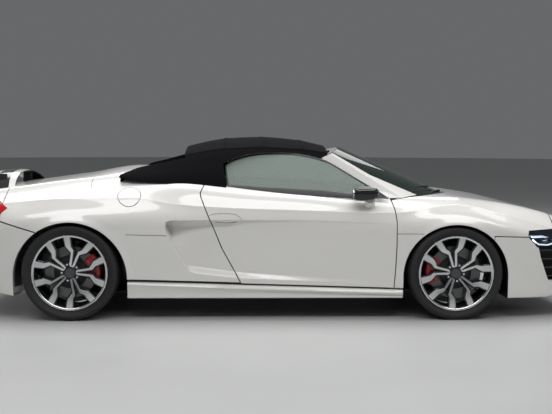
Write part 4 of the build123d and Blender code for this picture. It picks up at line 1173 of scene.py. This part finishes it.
for side, piece in (("right", grip_right), ("left", grip_left)):
    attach(piece, f"door_{side}")

# ------------------------------------------------------------------ tail lamps
AMBER = [(-1842, 768), (-1925, 792), (-1925, 748)]
both_of([strip("amber", AMBER, -1.5, 4, LAMP_AMBER)], "tail_lamp_inserts", "chassis")

# ------------------------------------------------------------------ rear spoiler
SPOILER_HALF, SPOILER_FRONT_X, SPOILER_CHORD, SPOILER_TOP = 655, -1866, 195, 1000
POST_X, POST_Y, POST_FOOT, POST_RISE = -1950, 420, 862, 122
rows = []
for u in np.linspace(-1, 1, 81):
    s = abs(u)
    fall = s ** 2.5
    y = SPOILER_HALF * u
    z = SPOILER_TOP - 130 * fall
    chord = SPOILER_CHORD - 40 * fall
    x_front = SPOILER_FRONT_X + 48 * fall
    arc = []
    for w in np.linspace(0, 1, 13):
        arc.append((x_front - chord * w, y, z - 10 * (1 - math.cos(math.pi * (w - 0.42))) + 4 * w))
    lower = [(x, y * 0.992, zz - 13 + 10 * abs(k / 12 - 0.5)) for k, (x, _, zz) in enumerate(arc)]
    rows.append(arc + lower[::-1])
spoiler = sweep("spoiler_blade", rows, [PAINT, GLOSS_BLACK],
                mat_of=lambda j: 1 if 3 <= j <= 8 or j > 12 else 0)
sharpen(spoiler, 45)
posts = []
for side in (-1, 1):
    post = []
    for u in np.linspace(0, 1, 8):
        z = POST_FOOT + POST_RISE * u
        post.append([(POST_X + (40 - 8 * u) * math.cos(a), side * POST_Y + 8 * math.sin(a), z)
                     for a in turn(24)])
    posts.append(sweep("spoiler_post", post, [BLACK]))
whole_spoiler = join([spoiler] + posts, "spoiler_set")
sharpen(whole_spoiler, 45)
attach(whole_spoiler, "chassis")
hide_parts("rear_spoiler")

# ------------------------------------------------------------------ cowl and wipers
SCREEN_BASE = (1255, 905, 700, 822, 850)
cowl_rows = []
for yv in np.linspace(-640, 640, 73):
    u = abs(yv) / 700
    glass_x = SCREEN_BASE[0] - (SCREEN_BASE[0] - SCREEN_BASE[1]) * u * u + 14
    scuttle_x = SCUTTLE_CENTRE_X + math.sqrt((SCUTTLE_RADIUS - 12) ** 2 - yv * yv)
    glass_z = SCREEN_BASE[4] - 6 - (SCREEN_BASE[4] - SCREEN_BASE[3]) * u * u
    t = np.linspace(CREST, CROWN, 60)
    _, sy, sz = surface(np.array([float(scuttle_x)]), t, False)
    scuttle_z = float(np.interp(-abs(yv), -sy[0], sz[0])) - 9
    scuttle_x = max(scuttle_x, glass_x + 4)
    # The ends dip under the bonnet's rear corners, which swing down here as it opens.
    scuttle_z -= 22 * min(max((abs(yv) - 460) / 45, 0), 1)
    top_line, low_line = [], []
    for w in np.linspace(0, 1, 13):
        rib = 2.5 * math.cos(6 * math.pi * w)
        level = glass_z + (scuttle_z - glass_z) * w + rib - 2
        top_line.append((glass_x + (scuttle_x - glass_x) * w, yv, level))
        low_line.append((top_line[-1][0], yv, top_line[-1][2] - 12))
    cowl_rows.append(top_line + low_line[::-1])
cowl = sweep("cowl_cover", cowl_rows, [BLACK])
sharpen(cowl, 40)
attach(cowl, "chassis")


def screen_point(u, v, out):
    """Point on the windscreen: u across from -1 to 1, v up from 0 to 1."""
    base = (1255 - 350 * u * u, 700 * u, 850 - 28 * u * u)
    top = (515 - 115 * u * u, 545 * u, 1178 - 48 * u * u)
    p = np.array(base) * (1 - v) + np.array(top) * v
    return tuple(p + np.array([0.42, 0, 0.9]) * out)


wiper_parts = []
for pivot, tip in (((0.42, -0.02), (-0.38, 0.075)), ((-0.22, -0.03), (-0.86, 0.06))):
    start, end = screen_point(*pivot, 12), screen_point(*tip, 12)
    wiper_parts.append(bar("wiper_arm", start, end, 10, 8, BLACK))
    blade_line = [screen_point(pivot[0] + (tip[0] - pivot[0]) * s,
                               pivot[1] + 0.03 + (tip[1] - pivot[1]) * s, 7)
                  for s in np.linspace(0.25, 1.25, 12)]
    wiper_parts += [bar("wiper_blade", a, b, 5, 12, BLACK) for a, b in zip(blade_line, blade_line[1:])]
    hub = Vector(start)
    wiper_parts.append(bar("wiper_hub", hub - Vector((0, 0, 22)), hub + Vector((0, 0, 8)), 26, 26, BLACK, 18))
wipers = join(wiper_parts, "wiper_set")
sharpen(wipers, 50)
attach(wipers, "chassis")

# interior mirror behind the screen
inner_mirror = join([mirror_shell(480, 512, -110, 110, 1062, 1122, BLACK, BLACK, 0),
                     bar("mirror_stalk", (505, 0, 1110), (535, 0, 1150), 16, 16, BLACK, 12)],
                    "interior_mirror")
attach(inner_mirror, "chassis")

# ------------------------------------------------------------------ folding top
TOP_STATIONS = [
    # x, belt y z, rail y z, crown z
    (-1075, 786, 972, 690, 1000, 1016), (-860, 800, 942, 600, 1062, 1090), (-600, 800, 922, 590, 1130, 1190),
    (-330, 800, 895, 590, 1170, 1240), (-100, 800, 872, 576, 1180, 1251), (200, 790, 852, 562, 1166, 1228),
    (392, 752, 840, 552, 1143, 1187),
]
TOP_TABLE = np.array(TOP_STATIONS, float)
TOP_BOWS = (215, -70, -345)
WINDOW_CUT = [(430, 700), (430, 1085), (370, 1099), (281, 1120), (174, 1140), (56, 1146), (-92, 1142),
              (-181, 1131), (-270, 1107), (-350, 1068), (-340, 1000), (-326, 924), (-326, 700)]
FIN_INNER_Y, ROOF_END_X = 600, -628
TOP_REAR_X, TOP_FRONT_X = -1075, 392
CLOTH_THICKNESS = 9


def top_surface(x, t):
    """Closed top over a grid: t runs from the belt over the rail to the centre line."""
    belt_y, belt_z, rail_y, rail_z, crown = curve_at(TOP_TABLE[:, 0], TOP_TABLE[:, 1:], x).T
    rise = crown - rail_z
    controls = [(belt_y, belt_z - 40)]
    for u, out in ((0.3, 5), (0.62, 8), (0.86, 4)):
        controls.append((belt_y + (rail_y - belt_y) * u + out, belt_z + (rail_z - belt_z) * u + out / 2))
    for u in (0.965, 0.86, 0.6, 0.3, 0.0, -0.3):
        controls.append((rail_y * u, rail_z + rise * (1 - u * u)))
    ys = np.stack([c[0] + 0 * x for c in controls])
    zs = np.stack([c[1] + 0 * x for c in controls])
    knots = np.arange(len(controls), dtype=float)
    y, z = curve_at(knots, ys, t).T, curve_at(knots, zs, t).T
    xx = np.repeat(x[:, None], len(t), axis=1)
    over = smooth_step((t[None, :] - 3.5) / 1.5)
    for bow in TOP_BOWS:
        z = z + 3.0 * over * np.exp(-((xx - bow) / 22) ** 2)
    sag = np.sin(xx / 61.0 + 1.3 * t[None, :]) * np.sin(t[None, :] * 2.3) * 0.9
    return xx, y, z + sag * over


def shell(name, p, thick, mat):
    """Closed shell of a grid of points, thickened inwards."""
    n = grid_normals(p)
    if n[p.shape[0] // 2, p.shape[1] // 2][2] < 0:
        n = -n
    q = p - n * thick
    return closed_grid(name, p, q, [mat])


def body_core():
    """Solid just under the painted surface behind the doors, to trim the top's lower edges."""
    x = np.linspace(-1150, -330, 60)
    xx, y, z = surface(x, np.linspace(WAIST, CROWN, 60), False)
    p = with_mirror(np.stack([xx, -y, z + 1.0], axis=2))
    q = p.copy()
    q[:, :, 2] = 500
    return closed_grid("core", p, q, [])


x = np.linspace(TOP_REAR_X, TOP_FRONT_X, 124)
t = np.linspace(0, 8, 84)
xx, y, z = top_surface(x, t)
cloth = shell("soft_top_cloth", with_mirror(np.stack([xx, -y, z], axis=2)), CLOTH_THICKNESS, CLOTH)
cut(cloth, prism("window", WINDOW_CUT, -WALL_Y, WALL_Y, "y"))
cut(cloth, prism("deck", [(ROOF_END_X, -FIN_INNER_Y), (ROOF_END_X, FIN_INNER_Y), (-1200, FIN_INNER_Y),
                          (-1200, -FIN_INNER_Y)], 700, 1400, "z"))
cut(cloth, body_core())

BELT_CUT = [(-1100, 976), (-1064, 972), (-979, 949), (-797, 933), (-625, 921), (-483, 910), (-320, 895),
            (-320, 700), (-1100, 700)]
cut(cloth, prism("belt", BELT_CUT, -WALL_Y, WALL_Y, "y"))

# the fins end in slanted tails
FIN_TAIL = [(-958, 560), (-958, FIN_INNER_Y), (-1066, 742), (-1078, 860), (-1300, 860), (-1300, 560)]


def tail_tool(side):
    return prism("tail", [(x, side * y) for x, y in FIN_TAIL][::side], 700, 1300, "z")


for side in (-1, 1):
    cut(cloth, tail_tool(side))
tails = []
for side in (-1, 1):
    rows = []
    for u in np.linspace(0, 1, 14):
        xv, yv = -956 - 108 * u, FIN_INNER_Y + 2 + 138 * u
        _, line_y, line_z = top_surface(np.array([xv]), np.linspace(0, 5, 120))
        top_z = float(np.interp(-yv, -line_y[0], line_z[0])) - 2
        rows.append([(xv, side * yv, top_z), (xv + 9, side * yv, top_z), (xv + 9, side * yv, 900),
                     (xv, side * yv, 900)])
    tail = sweep("fin_tail", rows, [CLOTH])
    cut(tail, body_core())
    tails.append(tail)

# rear curtain with its window, and the inner walls of the two fins
belt_y, belt_z, rail_y, rail_z, crown = curve_at(TOP_TABLE[:, 0], TOP_TABLE[:, 1:], np.array([-618.0]))[0]
half = [(rail_y * u, rail_z - 3 + (crown - rail_z) * (1 - u * u)) for u in np.linspace(1, 0, 16)]
curtain_line = [(-rail_y - 10, 900)] + [(-y, z) for y, z in half] + [(y, z) for y, z in reversed(half[:-1])]
curtain_line += [(rail_y + 10, 900)]
curtain = prism("curtain", curtain_line, -628, -608, "x")
glass_hole = []
for cy, cz, a0 in ((405, 1135, 0), (-405, 1135, 90), (-405, 1070, 180), (405, 1070, 270)):
    for a in np.linspace(a0, a0 + 90, 7):
        glass_hole.append((cy + 25 * math.cos(math.radians(a)), cz + 25 * math.sin(math.radians(a))))
cut(curtain, prism("hole", glass_hole, -700, -500, "x"))
cut(curtain, body_core())
curtain.data.materials.append(CLOTH)
fin_x = np.linspace(-1072, -620, 40)
fin_controls = curve_at(TOP_TABLE[:, 0], TOP_TABLE[:, 1:], fin_x)
fin_top = []
for xv, (_, _, ry, rz, cz) in zip(fin_x, fin_controls):
    u = min(1.0, FIN_INNER_Y / ry)
    fin_top.append((xv, rz + (cz - rz) * (1 - u * u) - 4))
fin_line = fin_top + [(-620, 930), (-1072, 930)]
walls = []
for side in (-1, 1):
    wall = prism("fin_wall", fin_line, *sorted((side * (FIN_INNER_Y - 1), side * (FIN_INNER_Y + 9))), "y")
    cut(wall, body_core())
    cut(wall, tail_tool(side))
    wall.data.materials.append(CLOTH)
    walls.append(wall)


def seam(line):
    """Stitched seam: a thin raised cord along the cloth."""
    return [bar("seam", a, b, 5, 3, CLOTH, 6) for a, b in zip(line, line[1:])]


seams = []
for side in (-1, 1):
    xs = np.linspace(-600, 388, 46)
    _, sy, sz = top_surface(xs, np.array([3.75]))
    seams += seam([(float(a), side * float(b), float(c) + 1.0) for a, b, c in zip(xs, sy[:, 0], sz[:, 0])])
for sx_at in (-345, 215):
    _, sy, sz = top_surface(np.array([float(sx_at)]), np.linspace(3.9, 8, 22))
    half_line = [(sx_at, -float(a), float(b) + 1) for a, b in zip(sy[0], sz[0])]
    seams += seam(half_line + [(x0, -y0, z0) for x0, y0, z0 in reversed(half_line[:-1])])
top = join([cloth, curtain] + walls + tails + seams, "soft_top_cover")
sharpen(top, 40)
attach(top, "chassis")
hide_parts("soft_top")

# ------------------------------------------------------------------ seats
SEAT_Y = 370
CUSHION_FRONT_X, CUSHION_LENGTH, CUSHION_Z, CUSHION_HALF, CUSHION_THICK = 268, 470, 352, 215, 92
BACK_X, BACK_RAKE, BACK_Z, BACK_RISE, BACK_HALF, BACK_THICK = -205, 185, 372, 585, 212, 84
CLOTH_FRAMES = 20


def squared(value, power):
    """A cosine or sine, pushed towards its ends to square a round section."""
    return np.sign(value) * abs(value) ** power


def seat_ring(x, z, half, thick, dx, dz, bolster, count=28):
    """Ring across a seat: raised side bolsters and a flat back.

    (dx, dz) is the outward direction of the pad's face in side view."""
    ring = []
    for k in range(count):
        a = 2 * math.pi * k / count
        c, s = math.cos(a), math.sin(a)
        across = half * np.sign(c) * abs(c) ** 0.55
        out = thick / 2 * np.sign(s) * abs(s) ** 0.6
        if s > 0:
            out += bolster * smooth_step((abs(across) / half - 0.55) / 0.3)
        ring.append((x + dx * out, across, z + dz * out))
    return ring


def inflate(obj, limit):
    """Cloth step: the cover swells over its foam, held within a limit."""
    bpy.context.view_layer.objects.active = obj
    for other in bpy.context.selected_objects:
        other.select_set(False)
    obj.select_set(True)
    remesh = obj.modifiers.new("remesh", "REMESH")
    remesh.mode = "VOXEL"
    remesh.voxel_size = 0.012
    bpy.ops.object.modifier_apply(modifier="remesh")
    rest = np.array([tuple(v.co) for v in obj.data.vertices])
    cloth_mod = obj.modifiers.new("cloth", "CLOTH")
    settings = cloth_mod.settings
    settings.use_pressure = True
    settings.uniform_pressure_force = 4.0
    settings.effector_weights.gravity = 0.0
    settings.quality = 5
    for f in range(1, CLOTH_FRAMES + 1):
        bpy.context.scene.frame_set(f)
    bpy.ops.object.modifier_apply(modifier="cloth")
    bpy.context.scene.frame_set(1)
    moved = np.array([tuple(v.co) for v in obj.data.vertices])
    step = moved - rest
    length = np.linalg.norm(step, axis=1, keepdims=True)
    step *= np.minimum(1.0, limit * MM / np.maximum(length, 1e-9))
    obj.data.vertices.foreach_set("co", (rest + step).ravel())
    obj.data.update()
    obj.data.polygons.foreach_set("use_smooth", [True] * len(obj.data.polygons))
    return obj


def cushion():
    rows = []
    for u in np.linspace(0, 1, 15):
        x = CUSHION_FRONT_X - CUSHION_LENGTH * u
        z = CUSHION_Z - 26 * u
        edge = min(1.0, 0.35 + 3.2 * min(u, 1 - u))
        half = CUSHION_HALF * (0.9 + 0.1 * edge)
        rows.append(seat_ring(x, z, half, CUSHION_THICK * edge, 0.05, 1.0, 30 * edge))
    return sweep("cushion", rows, [LEATHER])


def backrest():
    rows = []
    for u in np.linspace(0, 1, 21):
        x = BACK_X - BACK_RAKE * u - 12 * math.sin(math.pi * u)
        z = BACK_Z + BACK_RISE * u
        edge = min(1.0, 0.35 + 3.5 * min(u, 1 - u))
        narrow = 1 - 0.42 * smooth_step((u - 0.66) / 0.22)
        half = BACK_HALF * narrow * (0.9 + 0.1 * edge)
        bolster = 34 * edge * (1 - smooth_step((u - 0.6) / 0.2))
        rows.append(seat_ring(x, z, half, BACK_THICK * edge, 0.955, 0.3, bolster))
    return sweep("backrest", rows, [LEATHER])


for label, form in (("seat_cushion", inflate(cushion(), 9)), ("seat_back", inflate(backrest(), 9))):
    for side, shift in (("right", -SEAT_Y), ("left", SEAT_Y)):
        mesh = form.data.copy()
        mesh.transform(Matrix.Translation((0, shift * MM, 0)))
        pad = bpy.data.objects.new(f"{label}_{side}", mesh)
        bpy.context.scene.collection.objects.link(pad)
        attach(pad, "chassis")
        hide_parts("seats")
    bpy.data.objects.remove(form)
for side, shift in (("right", -SEAT_Y), ("left", SEAT_Y)):
    rows = []
    for u in np.linspace(0, 1, 12):
        x = -262 - 178 * u
        z = 300 + 640 * u
        half = 205 * (1 - 0.42 * smooth_step((u - 0.62) / 0.22))
        half *= 0.86 + 0.14 * math.sin(math.pi * min(1, 0.1 + u))
        rows.append([(x - 18 + 14 * math.sin(a) * 1.5, shift + half * squared(math.cos(a), 0.4), z)
                     for a in turn(32)])
    back_shell = sweep("shell", rows, [BLACK])
    rail_rows = []
    for u in np.linspace(0, 1, 10):
        x = 210 - 420 * u
        rail_rows.append([(x, shift + 178 * squared(math.cos(a), 0.3), 232 + 56 * math.sin(a))
                          for a in turn(28)])
    base = sweep("base", rail_rows, [BLACK])
    frame_piece = join([back_shell, base], f"seat_frame_{side}")
    sharpen(frame_piece, 45)
    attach(frame_piece, "chassis")
    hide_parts("seats")

# ------------------------------------------------------------------ finishes of the pieces that stay as built
FINISH = {
    PAINT: ["rear_bumper", "tail_panel", "windscreen_frame"],
    BLACK: ["cowl_panel", "rear_grille", "floor_tub", "dashboard", "luggage_tub", "undertrays"],
    GLASS: ["door_glass_left", "door_glass_right", "rear_window"],
    SCREEN_GLASS: ["windscreen"],
    LAMP_RED: ["tail_lamps"],
    LEATHER: ["steering_wheel"],
    CAST: ["engine_block", "front_subframe", "rear_subframe", "rear_uprights", "knuckle_left",
           "knuckle_right"],
    STEEL: ["exhaust", "door_hinges"],
}
for mat, names in FINISH.items():
    for name in names:
        if name in nodes:
            slots = nodes[name].data.materials
            slots.clear()
            slots.append(mat)

# ------------------------------------------------------------------ stage, light and camera
FLOOR_COLOR = (0.48, 0.487, 0.48)
FLOOR_REACH, FLOOR_SIDES = 40, 48  # metres, corners


def stage_plane():
    mat = material("studio_floor", FLOOR_COLOR, 0.5, scale=3, vary=0.02)
    points = [(FLOOR_REACH * math.cos(a), FLOOR_REACH * math.sin(a), 0) for a in turn(FLOOR_SIDES)]
    mesh = bpy.data.meshes.new("studio_floor")
    mesh.from_pydata(points, [], [list(range(FLOOR_SIDES))])
    mesh.materials.append(mat)
    obj = bpy.data.objects.new("studio_floor", mesh)
    bpy.context.scene.collection.objects.link(obj)


def area_light(name, place, aim, width, height, power, color=(1, 1, 1)):
    data = bpy.data.lights.new(name, "AREA")
    data.shape = "RECTANGLE"
    data.size = width
    data.size_y = height
    data.energy = power
    data.color = color
    obj = bpy.data.objects.new(name, data)
    obj.location = place
    obj.rotation_euler = (Vector(aim) - Vector(place)).to_track_quat("-Z", "Y").to_euler()
    bpy.context.scene.collection.objects.link(obj)


stage_plane()
area_light("overhead", (0, 0.3, 5.5), (0, 0, 0), 9.0, 4.0, 340)
area_light("front_side", (0.5, -5.0, 5.8), (0, -0.6, 0.5), 9.0, 1.6, 240)
area_light("rear_side", (-1.0, 7.5, 4.5), (0, 0, 0.6), 9.0, 2.0, 110)
area_light("tail", (-9.0, 0.0, 3.6), (0, 0, 0.6), 4.0, 2.0, 60)
area_light("nose", (9.0, 0.0, 3.6), (0, 0, 0.6), 4.0, 2.0, 50)

world = bpy.data.worlds.new("studio")
world.use_nodes = True
world.node_tree.nodes["Background"].inputs["Color"].default_value = (0.8, 0.82, 0.84, 1)
world.node_tree.nodes["Background"].inputs["Strength"].default_value = 0.17
bpy.context.scene.world = world

# viewpoint of the photograph: place in metres, angles in degrees, focal length in pixels of a 552 wide frame
CAMERA_PLACE = (-0.1687, -7.940, 1.3143)
CAMERA_YAW, CAMERA_PITCH, CAMERA_ROLL = 1.5, 4.338, 0.141
FOCAL_PIXELS, FRAME_PIXELS, SENSOR = 1032.56, 552, 36.0


def camera():
    yaw, pitch, roll = (math.radians(a) for a in (CAMERA_YAW, CAMERA_PITCH, CAMERA_ROLL))
    ahead = Vector((math.sin(yaw) * math.cos(pitch), math.cos(yaw) * math.cos(pitch), -math.sin(pitch)))
    level = Vector((math.cos(yaw), -math.sin(yaw), 0))
    rise = level.cross(ahead)
    right = level * math.cos(roll) + rise * math.sin(roll)
    up = rise * math.cos(roll) - level * math.sin(roll)
    data = bpy.data.cameras.new("camera")
    data.sensor_width = SENSOR
    data.lens = FOCAL_PIXELS * SENSOR / FRAME_PIXELS
    obj = bpy.data.objects.new("camera", data)
    matrix = Matrix((right, up, -ahead)).transposed().to_4x4()
    matrix.translation = Vector(CAMERA_PLACE)
    obj.matrix_world = matrix
    bpy.context.scene.collection.objects.link(obj)
    bpy.context.scene.camera = obj


camera()
bpy.context.scene.view_settings.view_transform = "Standard"
